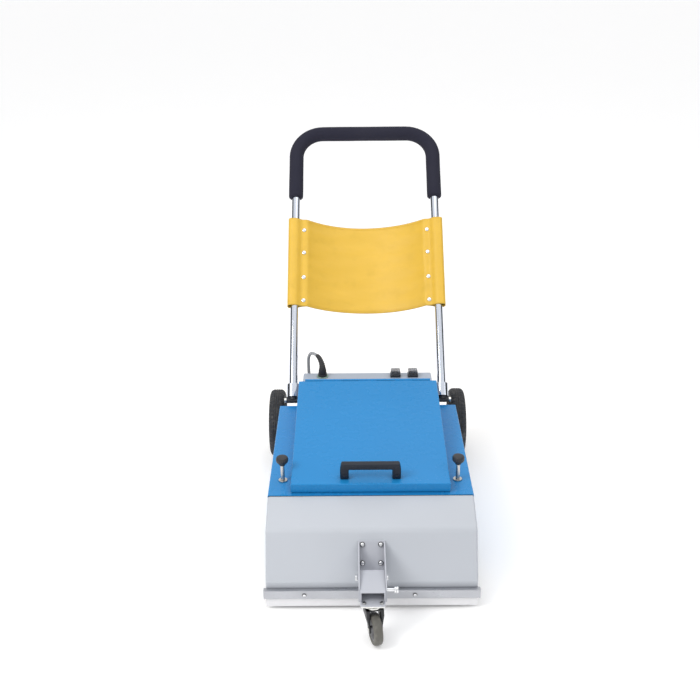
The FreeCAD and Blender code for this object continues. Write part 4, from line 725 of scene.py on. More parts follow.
class STEPCLEANER_OT_stage(bpy.types.Operator):
    """Adds the floor, the studio lights and the camera at the photograph's angle"""
    bl_idname = "stepcleaner.stage"
    bl_label = "Stage"

    def execute(self, context):
        deselect()
        bpy.ops.mesh.primitive_plane_add(size=70, location=(0, 0, 0))
        floor = context.active_object
        floor.name = "floor"
        s = Shader("floor_paper", (0.93, 0.93, 0.935), 0.75)
        s.tint(s.noise(3, 2), (0.9, 0.9, 0.905), 0.3)
        s.vary_rough(s.noise(40, 3), 0.1)
        s.surface.inputs["Emission Color"].default_value = (1, 1, 1, 1)
        s.surface.inputs["Emission Strength"].default_value = 0.16
        paint(floor, s.finish())
        lights = []
        for name, place, aim, size, power, tone in (
                ("key", (-2.3, -1.7, 2.9), (0, 0, 0.3), (1.5, 1.5), 62, (1, 0.985, 0.96)),
                ("overhead", (0.5, 0.6, 3.3), (0, 0, 0.3), (2.6, 2.6), 16, (0.97, 0.985, 1)),
                ("side", (2.7, -0.9, 1.4), (0, 0, 0.35), (1.4, 1.8), 8, (0.95, 0.975, 1))):
            bpy.ops.object.light_add(type="AREA", location=place)
            light = context.active_object
            light.name = name
            light.data.shape = "RECTANGLE"
            light.data.size, light.data.size_y = size
            light.data.energy = power
            light.data.color = tone
            light.rotation_euler = (Vector(aim) - Vector(place)).to_track_quat("-Z", "Y").to_euler()
            lights.append(light)
        context.scene.world = self.studio()
        bpy.ops.object.camera_add(location=at(-38.36, -1934, 1570))
        camera = context.active_object
        camera.name = "camera"
        camera.data.lens = 51.43
        camera.data.sensor_width = 36
        camera.data.clip_start = 0.05
        turn = Euler((math.radians(90 - 24.5), 0, math.radians(0.25862))).to_matrix()
        turn = turn @ Matrix.Rotation(math.radians(-0.53459), 3, "Z")
        camera.rotation_euler = turn.to_euler()
        context.scene.camera = camera
        context.scene.view_settings.view_transform = "Standard"
        context.scene.render.resolution_x = 700
        context.scene.render.resolution_y = 700
        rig.stage(floor, camera, *lights)
        return {"FINISHED"}

    def studio(self):
        """White room with a dark flag on each side, so that bright metal has dark edges."""
        world = bpy.data.worlds.new("studio")
        world.use_nodes = True
        tree = world.node_tree

        def add(kind, **values):
            node = tree.nodes.new("ShaderNode" + kind)
            for name, value in values.items():
                node.inputs[name].default_value = value
            return node

        sky = tree.nodes["Background"]
        parts = add("SeparateXYZ")
        tree.links.new(tree.nodes.new("ShaderNodeTexCoord").outputs["Generated"], parts.inputs[0])
        masks = []
        for axis, sign, near, far in (("X", "ABSOLUTE", 0.5, 0.72), ("Z", "ABSOLUTE", 0.62, 0.4)):
            size = tree.nodes.new("ShaderNodeMath")
            size.operation = sign
            tree.links.new(parts.outputs[axis], size.inputs[0])
            ramp = add("MapRange", **{"From Min": near, "From Max": far})
            ramp.interpolation_type = "SMOOTHSTEP"
            tree.links.new(size.outputs[0], ramp.inputs["Value"])
            masks.append(ramp.outputs["Result"])
        flag = tree.nodes.new("ShaderNodeMath")
        flag.operation = "MULTIPLY"
        tree.links.new(masks[0], flag.inputs[0])
        tree.links.new(masks[1], flag.inputs[1])
        rays = tree.nodes.new("ShaderNodeLightPath")
        seen = tree.nodes.new("ShaderNodeMath")
        seen.operation = "SUBTRACT"
        seen.use_clamp = True
        tree.links.new(flag.outputs[0], seen.inputs[0])
        tree.links.new(rays.outputs["Is Camera Ray"], seen.inputs[1])
        power = add("MapRange", **{"To Min": 1.0, "To Max": 0.05})
        tree.links.new(seen.outputs[0], power.inputs["Value"])
        tree.links.new(power.outputs["Result"], sky.inputs["Strength"])
        sky.inputs["Color"].default_value = (1, 1, 1, 1)
        return world


# Handle pieces.

HANDLE = Matrix.Translation(at(0, 668, 223.4)) @ Matrix.Rotation(math.radians(-44.7), 4, "X")
SLING_LOW, SLING_HIGH = 0.298, 0.591
SNAP_HEIGHTS = (0.317, 0.394, 0.477, 0.554)
SNAP_OUT = 0.191
CLOTH = 0.0016


def soft_line(points, spacing):
    """Points at an even spacing along a smooth line that a chain of control points pulls."""
    line = [points[0]]
    for i in range(1, len(points) - 1):
        start = points[0] if i == 1 else (points[i - 1] + points[i]) / 2
        end = points[-1] if i == len(points) - 2 else (points[i] + points[i + 1]) / 2
        for k in range(1, 13):
            t = k / 12
            line.append(start * (1 - t) ** 2 + points[i] * 2 * t * (1 - t) + end * t * t)
    lengths = [0.0]
    for a, b in zip(line, line[1:]):
        lengths.append(lengths[-1] + (b - a).length)
    count = max(2, round(lengths[-1] / spacing))
    result, at_piece = [], 0
    for k in range(count + 1):
        aim = lengths[-1] * k / count
        while at_piece < len(line) - 2 and lengths[at_piece + 1] < aim:
            at_piece += 1
        share = (aim - lengths[at_piece]) / max(1e-9, lengths[at_piece + 1] - lengths[at_piece])
        result.append(line[at_piece].lerp(line[at_piece + 1], min(1, share)))
    return result, lengths[-1]


def sling_section():
    """The sling's section across the handle: flap, pocket round a tube, belly, pocket, flap."""
    half = [(0.1825, 0.0017), (0.197, 0.0019), (0.2125, 0.0137), (0.2254, 0.0137), (0.2335, 0.0134),
            (0.2391, 0.008), (0.2391, -0.008), (0.2335, -0.0134), (0.2254, -0.0137), (0.2125, -0.0137),
            (0.199, -0.0012), (0.19, -0.0009), (0.181, -0.0009)]
    radius = (0.181 ** 2 + 0.064 ** 2) / (2 * 0.064)
    belly = []
    for k in range(1, 12):
        x = 0.181 * math.cos(math.pi * k / 12)
        belly.append((x, math.sqrt(radius ** 2 - x ** 2) - radius + 0.0631))
    left = [(-x, y) for x, y in half]
    right = [(x, y) for x, y in reversed(half)]
    return [Vector((x, y, 0)) for x, y in left + [(-x, y) for x, y in belly] + right]


def cloth_waves(x, z):
    """Slack of the cloth, across its face: creases that run in from the snaps, and soft rolls between."""
    if abs(x) > 0.185:
        return 0.0
    inward = 0.185 - abs(x)
    pull = 0.0
    for snap in SNAP_HEIGHTS:
        pull -= 0.0016 * math.exp(-((z - snap) / 0.011) ** 2) * math.exp(-inward / 0.045)
    fade = min(1.0, inward / 0.03)
    roll = 0.0009 * math.sin(z * 46 + x * 9) * math.cos(x * 13 - z * 7)
    roll += 0.0005 * math.sin(z * 118 - x * 21)
    return pull + roll * fade


class STEPCLEANER_OT_sling(bpy.types.Operator):
    """Makes the yellow sling, with its pockets, seams and creases"""
    bl_idname = "stepcleaner.sling"
    bl_label = "Sling"

    def execute(self, context):
        made = make_materials()
        profile, width = soft_line(sling_section(), 0.0045)
        rows = 62
        columns = len(profile) - 1
        deselect()
        bpy.ops.mesh.primitive_grid_add(x_subdivisions=columns, y_subdivisions=rows, size=2, calc_uvs=True)
        sling = context.active_object
        tall = SLING_HIGH - SLING_LOW
        layer = sling.data.uv_layers.active
        for loop in sling.data.loops:
            u, v = layer.data[loop.index].uv
            layer.data[loop.index].uv = (u * width, v * tall)
        for vert in sling.data.vertices:
            column = round((vert.co.x + 1) / 2 * columns)
            share = (vert.co.y + 1) / 2
            z = SLING_LOW + share * tall
            spot = profile[column]
            before, after = profile[max(0, column - 1)], profile[min(columns, column + 1)]
            across = (after - before).normalized()
            normal = Vector((-across.y, across.x, 0))
            edge = min(z - SLING_LOW, SLING_HIGH - z)
            lip = 0.0012 * math.exp(-edge / 0.006) if abs(spot.x) < 0.185 else 0
            lift = cloth_waves(spot.x, z) + lip
            vert.co = HANDLE @ Vector((spot.x + normal.x * lift, spot.y + normal.y * lift, z))
        sling.name = "sling_cloth"
        paint(sling, made["cloth"])
        thick = sling.modifiers.new("Cloth", "SOLIDIFY")
        thick.thickness = CLOTH
        thick.offset = 0
        sling.data.shade_smooth()
        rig.ride(sling, "handle")
        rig.replaces(sling, "sling")
        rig.slot(sling, "yellow_vinyl")
        seams = self.stitches(context, profile)
        paint(seams, made["thread"])
        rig.ride(seams, "handle")
        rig.slot(seams, "yellow_vinyl")
        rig.sheet(sling, flat=(width, tall), held="stretched", rests_on=["handle_tube"], with_pieces=[seams])
        return {"FINISHED"}

    def stitches(self, context, profile):
        """Short threads that lie on the cloth: one line near the top edge and one near the bottom edge."""
        spots = []
        panel = [p for p in profile if abs(p.x) < 0.184]
        for z in (SLING_LOW + 0.007, SLING_HIGH - 0.007):
            for a, b in zip(panel, panel[1:]):
                spots.append(((a + b) / 2, (b - a).normalized(), z))
        deselect()
        bpy.ops.mesh.primitive_cylinder_add(vertices=6, radius=0.00042, depth=0.0031)
        first = context.active_object
        pick(first, lambda c, n: abs(n.z) > 0.9)
        bpy.ops.mesh.inset(thickness=0.00018)
        bpy.ops.transform.resize(value=(0.7, 0.7, 1.18), center_override=(0, 0, 0))
        done(first)
        shape = first.data.copy()
        bpy.data.objects.remove(first)
        threads = []
        for spot, along, z in spots:
            normal = Vector((-along.y, along.x, 0))
            place = spot + normal * (cloth_waves(spot.x, z) - CLOTH / 2 - 0.0001)
            turn = Vector((0, 0, 1)).rotation_difference(along).to_matrix().to_4x4()
            mesh = shape.copy()
            mesh.transform(HANDLE @ Matrix.Translation((place.x, place.y, z)) @ turn)
            thread = bpy.data.objects.new("thread", mesh)
            context.scene.collection.objects.link(thread)
            threads.append(thread)
        seams = joined(threads, "sling_seams")
        seams.data.shade_smooth()
        return seams


class STEPCLEANER_OT_snaps(bpy.types.Operator):
    """Makes the sling's press snaps: domed caps on the front and rolled sockets behind"""
    bl_idname = "stepcleaner.snaps"
    bl_label = "Snaps"

    def execute(self, context):
        made = make_materials()
        deselect()
        bpy.ops.mesh.primitive_cylinder_add(vertices=40, radius=0.0062, depth=0.0012)
        cap = context.active_object
        pick(cap, lambda c, n: n.z > 0.9)
        for thickness, rise in ((0.0006, 0.0005), (0.0009, 0.00035), (0.0013, 0.0003), (0.0014, 0.00015)):
            bpy.ops.mesh.inset(thickness=thickness)
            bpy.ops.transform.translate(value=(0, 0, rise))
        done(cap)
        bpy.ops.mesh.primitive_cylinder_add(vertices=32, radius=0.0052, depth=0.0016,
                                            location=(0, 0, -0.0052))
        socket = context.active_object
        pick(socket, lambda c, n: n.z < -0.9)
        bpy.ops.mesh.inset(thickness=0.001)
        bpy.ops.mesh.inset(thickness=0.0008)
        bpy.ops.transform.translate(value=(0, 0, 0.0009))
        done(socket)
        snap = settle(joined([cap, socket], "snap"), "snap")
        shape = snap.data.copy()
        bpy.data.objects.remove(snap)
        snaps = []
        for z in SNAP_HEIGHTS:
            for x in (-SNAP_OUT, SNAP_OUT):
                mesh = shape.copy()
                face = Matrix.Rotation(math.radians(90), 4, "X")
                mesh.transform(HANDLE @ Matrix.Translation((x, -0.0024, z)) @ face)
                piece = bpy.data.objects.new("snap", mesh)
                context.scene.collection.objects.link(piece)
                snaps.append(piece)
        snaps = joined(snaps, "sling_press_snaps")
        smooth(snaps, 40)
        paint(snaps, made["bright"])
        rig.ride(snaps, "handle")
        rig.replaces(snaps, "sling_snaps")
        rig.slot(snaps, "chrome")
        return {"FINISHED"}


class STEPCLEANER_OT_grip(bpy.types.Operator):
    """Makes the black foam grip round the top bar, with its rolled ends"""
    bl_idname = "stepcleaner.grip"
    bl_label = "Foam Grip"

    def execute(self, context):
        made = make_materials()
        half, top, bend, start = 0.218, 0.901, 0.085, 0.669
        line = []
        rise = top - bend - start
        for d in (0, 0.0012, 0.003, 0.006, 0.012, 0.03, 0.06, 0.09, 0.12):
            if d < rise:
                line.append((-half, start + d))
        for k in range(13):
            a = math.pi - math.pi / 2 * k / 12
            line.append((-half + bend + bend * math.cos(a), top - bend + bend * math.sin(a)))
        for k in range(1, 8):
            line.append((-half + bend + (2 * half - 2 * bend) * k / 16, top))
        line += [(0, top)] + [(-x, z) for x, z in reversed(line)]
        deselect()
        bpy.ops.curve.primitive_nurbs_path_add()
        curve = context.active_object
        curve.data.splines.clear()
        curve.data.dimensions = "3D"
        spline = curve.data.splines.new("POLY")
        spline.points.add(len(line) - 1)
        length = 0.0
        steps = [0.0]
        for a, b in zip(line, line[1:]):
            length += math.hypot(b[0] - a[0], b[1] - a[1])
            steps.append(length)
        for point, (x, z), s in zip(spline.points, line, steps):
            point.co = (*(HANDLE @ Vector((x, 0, z))), 1)
            inward = min(s, length - s)
            point.radius = 1 - 0.13 * math.exp(-inward / 0.0013)
            point.radius += 0.006 * math.sin(s * 41) * min(1, inward / 0.02)
        curve.data.bevel_depth = 0.0225
        curve.data.bevel_resolution = 14
        curve.data.use_fill_caps = True
        choose(curve)
        bpy.ops.object.convert(target="MESH")
        grip = settle(context.active_object, "foam_grip_skin")
        outward(grip)
        grip.data.shade_smooth()
        smooth(grip, 50)
        paint(grip, made["foam"])
        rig.ride(grip, "handle")
        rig.replaces(grip, "foam_grip")
        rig.slot(grip, "foam")
        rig.padded(grip, fill=0.95)
        return {"FINISHED"}


# Mains lead.

CORD_MID = 4.5
COIL = (-62, 1010)
COIL_INNER, COIL_PITCH, COIL_EASE = 38, 9.6, 1.4
COIL_HALVES, COIL_LAYERS = 6, 4
LEAD_FOOT = (-132, 722, 300)
LEAD_AIM = Vector((math.cos(math.radians(120.5)), math.sin(math.radians(120.5)), 0))
BOOT_BEND = 30


def coil_stations():
    """Radius and height of the coil at each half turn, as the part's source has them."""
    stations = []
    for layer in range(COIL_LAYERS):
        for step in range(COIL_HALVES + 1):
            grown = step if layer % 2 else COIL_HALVES - step
            ease = {0: -COIL_EASE, COIL_HALVES: COIL_EASE}.get(grown, 0)
            stations.append((COIL_INNER + grown * COIL_PITCH / 2 + ease, CORD_MID + layer * COIL_PITCH))
    last = COIL_INNER + (COIL_HALVES + 1) * COIL_PITCH / 2 + COIL_EASE
    stations.append((last, stations[-1][1]))
    return stations


def lead_route():
    """Control points of the whole lead: arch, run to the floor, coil and tail to the plug."""
    top = Vector(LEAD_FOOT) + Vector((0, 0, BOOT_BEND)) + LEAD_AIM * BOOT_BEND
    points = [top, top + LEAD_AIM * 33, top + LEAD_AIM * 56.3 - Vector((0, 0, 23.3)),
              top + LEAD_AIM * 58 - Vector((0, 0, 56)), top + LEAD_AIM * 52 - Vector((0, 0, 120)),
              Vector((-164, 806, 120)), Vector((-150, 822, 45)), Vector((-118, 852, 10)),
              Vector((-72, 885, 4.5)), Vector((-24, 915, 4.5)), Vector((1.2, 950, 4.5)),
              Vector((6.2, 972, 4.5)), Vector((6.2, 1001, 4.5))]
    stations = coil_stations()
    per_half = 8
    swell = 2 / (1 + math.cos(math.pi / per_half))
    for i in range(len(stations) - 1):
        (r0, z0), (r1, z1) = stations[i], stations[i + 1]
        begin = 0 if i % 2 == 0 else math.pi
        for k in range(per_half):
            share = (k + 0.5) / per_half
            glide = share * share * (3 - 2 * share)
            radius = (r0 + (r1 - r0) * glide) * swell
            angle = begin + math.pi * share
            height = z0 + (z1 - z0) * glide
            points.append(Vector((COIL[0] + radius * math.cos(angle), COIL[1] + radius * math.sin(angle),
                                  height)))
    end = Vector((11, 1019, 33.3))
    points += [end, end + Vector((0, 26, 0)), end + Vector((12, 56, -5)), end + Vector((36, 84, -12)),
               end + Vector((68, 102, -18))]
    return points


class STEPCLEANER_OT_lead(bpy.types.Operator):
    """Makes the mains lead: the arch at the control box, the run to the floor and the coil behind"""
    bl_idname = "stepcleaner.lead"
    bl_label = "Mains Lead"

    def execute(self, context):
        made = make_materials()
        points = lead_route()
        curve = bpy.data.curves.new("mains_cord", "CURVE")
        curve.dimensions = "3D"
        spline = curve.splines.new("NURBS")
        spline.points.add(len(points) - 1)
        for knot, p in zip(spline.points, points):
            knot.co = (*at(*p), 1)
        spline.order_u = 3
        spline.use_endpoint_u = True
        spline.resolution_u = 4
        curve.resolution_u = 4
        curve.render_resolution_u = 0
        curve.bevel_depth = sizes().cord_across / 2
        curve.bevel_resolution = 5
        curve.use_fill_caps = True
        cord = bpy.data.objects.new("mains_cord", curve)
        context.scene.collection.objects.link(cord)
        curve.materials.append(made["cord"])
        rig.ride(cord, "body")
        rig.replaces(cord, "mains_lead", "mains_coil", "mains_tail")
        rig.slot(cord, "grey_cable")
        plug = self.plug(made)
        length = measured(cord)
        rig.cord(cord, exit=at(*points[0]), length=length, diameter=sizes().cord_across, far_end="plug",
                stiffness="medium", lay="coiled", with_pieces=[plug])
        return {"FINISHED"}

    def plug(self, made):
        """Grey rubber plug with a tapered, ribbed neck and three flat pins."""
        tail = Vector((79, 1121, 15.3))
        heading = (Vector((79, 1121, 15.3)) - Vector((47, 1103, 21.3))).normalized()
        level = Vector((heading.x, heading.y, 0)).normalized()
        deselect()
        bpy.ops.mesh.primitive_cube_add(size=1, location=(0.022, 0, 0.0135 - 0.0153))
        body = bpy.context.active_object
        body.scale = (0.044, 0.034, 0.027)
        bpy.ops.object.transform_apply(location=True, rotation=False, scale=True)
        pick(body, lambda c, n: n.x > 0.9)
        bpy.ops.mesh.inset(thickness=0.002)
        bpy.ops.mesh.extrude_region_move(TRANSFORM_OT_translate={"value": (-0.0008, 0, 0)})
        bpy.ops.mesh.select_all(action="DESELECT")
        done(body)
        pick(body, lambda c, n: abs(n.y) > 0.9)
        bpy.ops.mesh.inset(thickness=0.005)
        bpy.ops.transform.resize(value=(1, 0.86, 1), center_override=(0.022, 0, -0.0018))
        done(body)
        soften = body.modifiers.new("Round", "BEVEL")
        soften.width = 0.0038
        soften.segments = 4
        soften.angle_limit = math.radians(50)
        apply_all(body)
        pieces = [body]
        for k in range(5):
            bpy.ops.mesh.primitive_cylinder_add(vertices=28, radius=0.0078 - 0.00035 * k, depth=0.0026,
                                                location=(-0.0008 - 0.0042 * k, 0, 0),
                                                rotation=(0, math.pi / 2, 0))
            pieces.append(bpy.context.active_object)
        bpy.ops.mesh.primitive_cone_add(vertices=28, radius1=0.0068, radius2=0.0052, depth=0.026,
                                        location=(-0.011, 0, 0), rotation=(0, -math.pi / 2, 0))
        pieces.append(bpy.context.active_object)
        for y, z, long, wide, tall in ((-0.007, 0.017, 0.0205, 0.0016, 0.0064),
                                       (0.007, 0.017, 0.0205, 0.0016, 0.0064),
                                       (0, 0.006, 0.0225, 0.0064, 0.0016)):
            bpy.ops.mesh.primitive_cube_add(size=1, location=(0.0432 + long / 2 - 0.0012, y, z - 0.0153))
            pin = bpy.context.active_object
            pin.scale = (long, wide, tall)
            bpy.ops.object.transform_apply(location=True, rotation=False, scale=True)
            pick(pin, lambda c, n: n.x > 0.9)
            bpy.ops.transform.resize(value=(1, 0.7, 0.7), center_override=(0.0432 + long, y, z - 0.0153))
            done(pin)
            pin.data.materials.append(made["cord"])
            pin.data.materials.append(made["pale_zinc"])
            for face in pin.data.polygons:
                face.material_index = 1
            pieces.append(pin)
        for piece in pieces:
            if not piece.data.materials:
                piece.data.materials.append(made["cord"])
        plug = joined(pieces, "mains_plug_body")
        bpy.ops.object.transform_apply(location=True, rotation=True, scale=True)
        turn = math.atan2(level.y, level.x)
        plug.data.transform(Matrix.Translation(at(*(tail + level * 8))) @ Matrix.Rotation(turn, 4, "Z"))
        smooth(plug, 35)
        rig.ride(plug, "body")
        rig.replaces(plug, "mains_plug")
        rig.slot(plug, "grey_cable")
        return plug


def measured(cord):
    """Length of a curve's own line, in metres."""
    bare = cord.data.copy()
    bare.bevel_depth = 0
    ghost = bpy.data.objects.new("ghost", bare)
    bpy.context.scene.collection.objects.link(ghost)
    bpy.context.view_layer.update()
    mesh = bpy.data.meshes.new_from_object(ghost)
    places = [v.co.copy() for v in mesh.vertices]
    total = sum((b - a).length for a, b in zip(places, places[1:]))
    bpy.data.objects.remove(ghost)
    return round(total, 4)


class STEPCLEANER_OT_gland(bpy.types.Operator):
    """Makes the cable gland: body, hexagon, ribbed bend relief"""
    bl_idname = "stepcleaner.gland"
    bl_label = "Cable Gland"

    def execute(self, context):
        made = make_materials()
        foot = at(*LEAD_FOOT)
        deselect()
        base = at(LEAD_FOOT[0], LEAD_FOOT[1], 275)
        bpy.ops.mesh.primitive_cylinder_add(vertices=6, radius=0.0148, depth=0.007,
                                            location=base + Vector((0, 0, 0.0055)))
        nut = context.active_object
        soften = nut.modifiers.new("Round", "BEVEL")
        soften.width = 0.0008
        soften.segments = 2
        apply_all(nut)
        bpy.ops.mesh.primitive_cylinder_add(vertices=48, radius=0.0105, depth=0.0165,
                                            location=base + Vector((0, 0, 0.0168)))
        barrel = context.active_object
        pick(barrel, lambda c, n: n.z > 0.9)
        bpy.ops.mesh.bevel(offset=0.0012, segments=2, affect="EDGES")
        done(barrel)
        grips = [nut, barrel]
        for k in range(16):
            angle = 2 * math.pi * k / 16
            bpy.ops.mesh.primitive_cube_add(size=1, location=base + Vector(
                (0.0106 * math.cos(angle), 0.0106 * math.sin(angle), 0.0162)), rotation=(0, 0, angle))
            rib = context.active_object
            rib.scale = (0.0012, 0.0016, 0.011)
            grips.append(rib)
        body = joined(grips, "gland_body")
        bpy.ops.object.transform_apply(location=True, rotation=True, scale=True)
        smooth(body, 30)
        paint(body, made["black_plastic"])
        boot = self.boot(foot, made)
        for piece in (body, boot):
            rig.ride(piece, "body")
            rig.slot(piece, "black_plastic")
        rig.replaces(body, "cable_gland")
        return {"FINISHED"}

    def boot(self, foot, made):
        """Tapered relief that follows a quarter bend, with rings cut round it."""
        bend = BOOT_BEND / 1000
        steps = 44
        deselect()
        bpy.ops.mesh.primitive_circle_add(vertices=28, radius=0.0098, fill_type="NGON", location=foot)
        boot = bpy.context.active_object
        bpy.ops.object.transform_apply(location=True)
        boot.data.flip_normals()
        rings = [foot.copy()]
        axis = Vector((0, 0, 1)).cross(LEAD_AIM)
        pick(boot, lambda c, n: True)
        before = 0.0098
        for k in range(1, steps + 1):
            angle = math.pi / 2 * k / steps
            spot = foot + LEAD_AIM * bend * (1 - math.cos(angle)) + Vector((0, 0, bend * math.sin(angle)))
            groove = 0.0011 if 5 < k < steps - 3 and k % 5 in (0, 1) else 0
            wide = 0.0098 - (0.0098 - 0.0058) * (k / steps) ** 0.9 - groove
            bpy.ops.mesh.extrude_region_move(TRANSFORM_OT_translate={"value": spot - rings[-1]})
            twist = Matrix.Rotation(math.pi / 2 / steps, 4, axis)
            turn_selected(boot, spot, twist, wide / before)
            before = wide
            rings.append(spot)
        done(boot)
        outward(boot)
        boot.name = "gland_bend_relief"
        smooth(boot, 40)
        paint(boot, made["soft_black"])
        return boot


def turn_selected(obj, centre, turn, scale):
    """Turns and scales the selected corners about a point, in edit mode."""
    mesh = bmesh.from_edit_mesh(obj.data)
    for vert in mesh.verts:
        if vert.select:
            vert.co = centre + (turn @ (vert.co - centre)) * scale
    bmesh.update_edit_mesh(obj.data)


# Wheels and brushes.


def lathe(name, outline, centre, steps=96):
    """Turns a closed outline of (distance along X, radius) about a level axis through centre."""
    deselect()
    bpy.ops.mesh.primitive_circle_add(vertices=len(outline), radius=0.01, fill_type="NOTHING")
    ring = bpy.context.active_object
    for vert, (x, r) in zip(ring.data.vertices, outline):
        vert.co = (x, 0, r)
    pick(ring, lambda c, n: True, "VERT")
    bpy.ops.mesh.select_all(action="SELECT")
    bpy.ops.mesh.spin(steps=steps, angle=2 * math.pi, center=(0, 0, 0), axis=(1, 0, 0))
    done(ring)
    outward(ring)
    ring.data.transform(Matrix.Translation(centre))
    ring.name = name
    ring.data.name = name
    return ring


def tread_wheel(side, made):
    """Rear tyre with ribs, cross grooves and a bead line on each wall."""
    depth = sizes().tread_depth
    low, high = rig.box("wheel_tyre_right")
    inner, outer, rim = low.x, high.x, 0.0702
    radius, shoulder = (high.z - low.z) / 2, 0.014
    outline = [(inner + 0.004, rim), (inner + 0.0022, rim + 0.004), (inner + 0.0008, rim + 0.006),
               (inner + 0.0008, rim + 0.0075), (inner + 0.0002, rim + 0.0095), (inner, rim + 0.014),
               (inner, radius - shoulder)]
    for k in range(1, 6):
        a = math.pi / 2 * k / 6
        outline.append((inner + shoulder * (1 - math.cos(a)), radius - shoulder * (1 - math.sin(a))))
    for groove in (0.0, 0.0062, 0.0124):
        x = inner + shoulder + 0.0006 + groove
        outline += [(x, radius), (x + 0.0006, radius - depth), (x + 0.002, radius - depth),
                    (x + 0.0026, radius)]
    for k in range(5, 0, -1):
        a = math.pi / 2 * k / 6
        outline.append((outer - shoulder * (1 - math.cos(a)), radius - shoulder * (1 - math.sin(a))))
    outline += [(outer, radius - shoulder), (outer, rim + 0.014), (outer - 0.0002, rim + 0.0095),
                (outer - 0.0008, rim + 0.0075), (outer - 0.0008, rim + 0.006), (outer - 0.0022, rim + 0.004),
                (outer - 0.004, rim)]
    blocks = sizes().tread_blocks
    centre = Vector((0, (low.y + high.y) / 2, (low.z + high.z) / 2))
    tyre = lathe("tread_tyre_" + side, outline, Vector((0, 0, 0)), blocks * 4)
    # every fourth strip of the shoulders is pushed in, which leaves the blocks between
    for vert in tyre.data.vertices:
        r = math.hypot(vert.co.y, vert.co.z)
        edge = min(vert.co.x - inner, outer - vert.co.x)
        if r < radius - 0.012 or edge > shoulder + 0.001:
            continue
        turn = math.atan2(vert.co.z, vert.co.y) / (2 * math.pi) * blocks
        within = (turn - math.floor(turn)) * 4
        if 0.5 < within < 1.5 or 3.5 < within or within < 0.5:
            continue
        cut = depth * (1 if 1.5 < within < 2.5 else 0.0)
        scale = (r - cut) / r
        vert.co.y *= scale
        vert.co.z *= scale
    if side == "left":
        for vert in tyre.data.vertices:
            vert.co.x = -vert.co.x
        tyre.data.flip_normals()
    tyre.data.transform(Matrix.Translation(centre))
    smooth(tyre, 40)
    paint(tyre, made["tyre"])
    return tyre


class STEPCLEANER_OT_rear_tyres(bpy.types.Operator):
    """Makes the two rear tyres with ribbed treads"""
    bl_idname = "stepcleaner.rear_tyres"
    bl_label = "Rear Tyres"

    def execute(self, context):
        made = make_materials()
        for side in ("left", "right"):
            tyre = tread_wheel(side, made)
            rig.ride(tyre, "wheel_" + side)
            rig.replaces(tyre, "wheel_tyre_" + side)
            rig.slot(tyre, "tyre")
        return {"FINISHED"}


class STEPCLEANER_OT_brushes(bpy.types.Operator):
    """Makes the two brush rollers as rows of nylon tufts set round the cores"""
    bl_idname = "stepcleaner.brushes"
    bl_label = "Brushes"

    def execute(self, context):
        made = make_materials()
        deselect()
        bpy.ops.mesh.primitive_cone_add(vertices=5, radius1=0.0022, radius2=0.0034, depth=0.0245,
                                        location=(0, 0, 0.03705))
        tuft = context.active_object
        bpy.ops.object.transform_apply(location=True)
        pick(tuft, lambda c, n: n.z > 0.9)
        bpy.ops.mesh.inset(thickness=0.0009)
        bpy.ops.transform.translate(value=(0, 0, -0.0012))
        done(tuft)
        shape = tuft.data.copy()
        bpy.data.objects.remove(tuft)
        rows, around, half = sizes().tuft_rows * 2, 24, 0.219
        for name, y in (("front", 75), ("rear", 190)):
            middle = at(0, y, 55)
            meshes = []
            for row in range(rows):
                x = -half + 2 * half * row / (rows - 1)
                for k in range(around):
                    angle = 2 * math.pi * (k + (row % 2) / 2) / around + 0.5 * math.sin(x * 14)
                    lean = Matrix.Rotation(0.05 * math.sin(row * 5.1 + k * 3.7), 4, "Y")
                    meshes.append(Matrix.Translation(middle + Vector((x, 0, 0)))
                                  @ Matrix.Rotation(angle, 4, "X") @ lean)
            brush = scattered(name + "_brush_tufts", shape, meshes)
            brush.data.shade_smooth()
            smooth(brush, 50)
            paint(brush, made["hair"])
            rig.ride(brush, name + "_brush")
            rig.replaces(brush, name + "_brush_bristles")
            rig.slot(brush, "bristle")
        return {"FINISHED"}


def scattered(name, shape, places):
    """One mesh that holds a copy of a shape at each place."""
    corners = [v.co.copy() for v in shape.vertices]
    faces = [tuple(p.vertices) for p in shape.polygons]
    all_corners, all_faces = [], []
    for place in places:
        base = len(all_corners)
        all_corners += [place @ c for c in corners]
        all_faces += [tuple(base + i for i in f) for f in faces]
    mesh = bpy.data.meshes.new(name)
    mesh.from_pydata(all_corners, [], all_faces)
    mesh.update()
    obj = bpy.data.objects.new(name, mesh)
    bpy.context.scene.collection.objects.link(obj)
    return obj


# Knobs and switches.


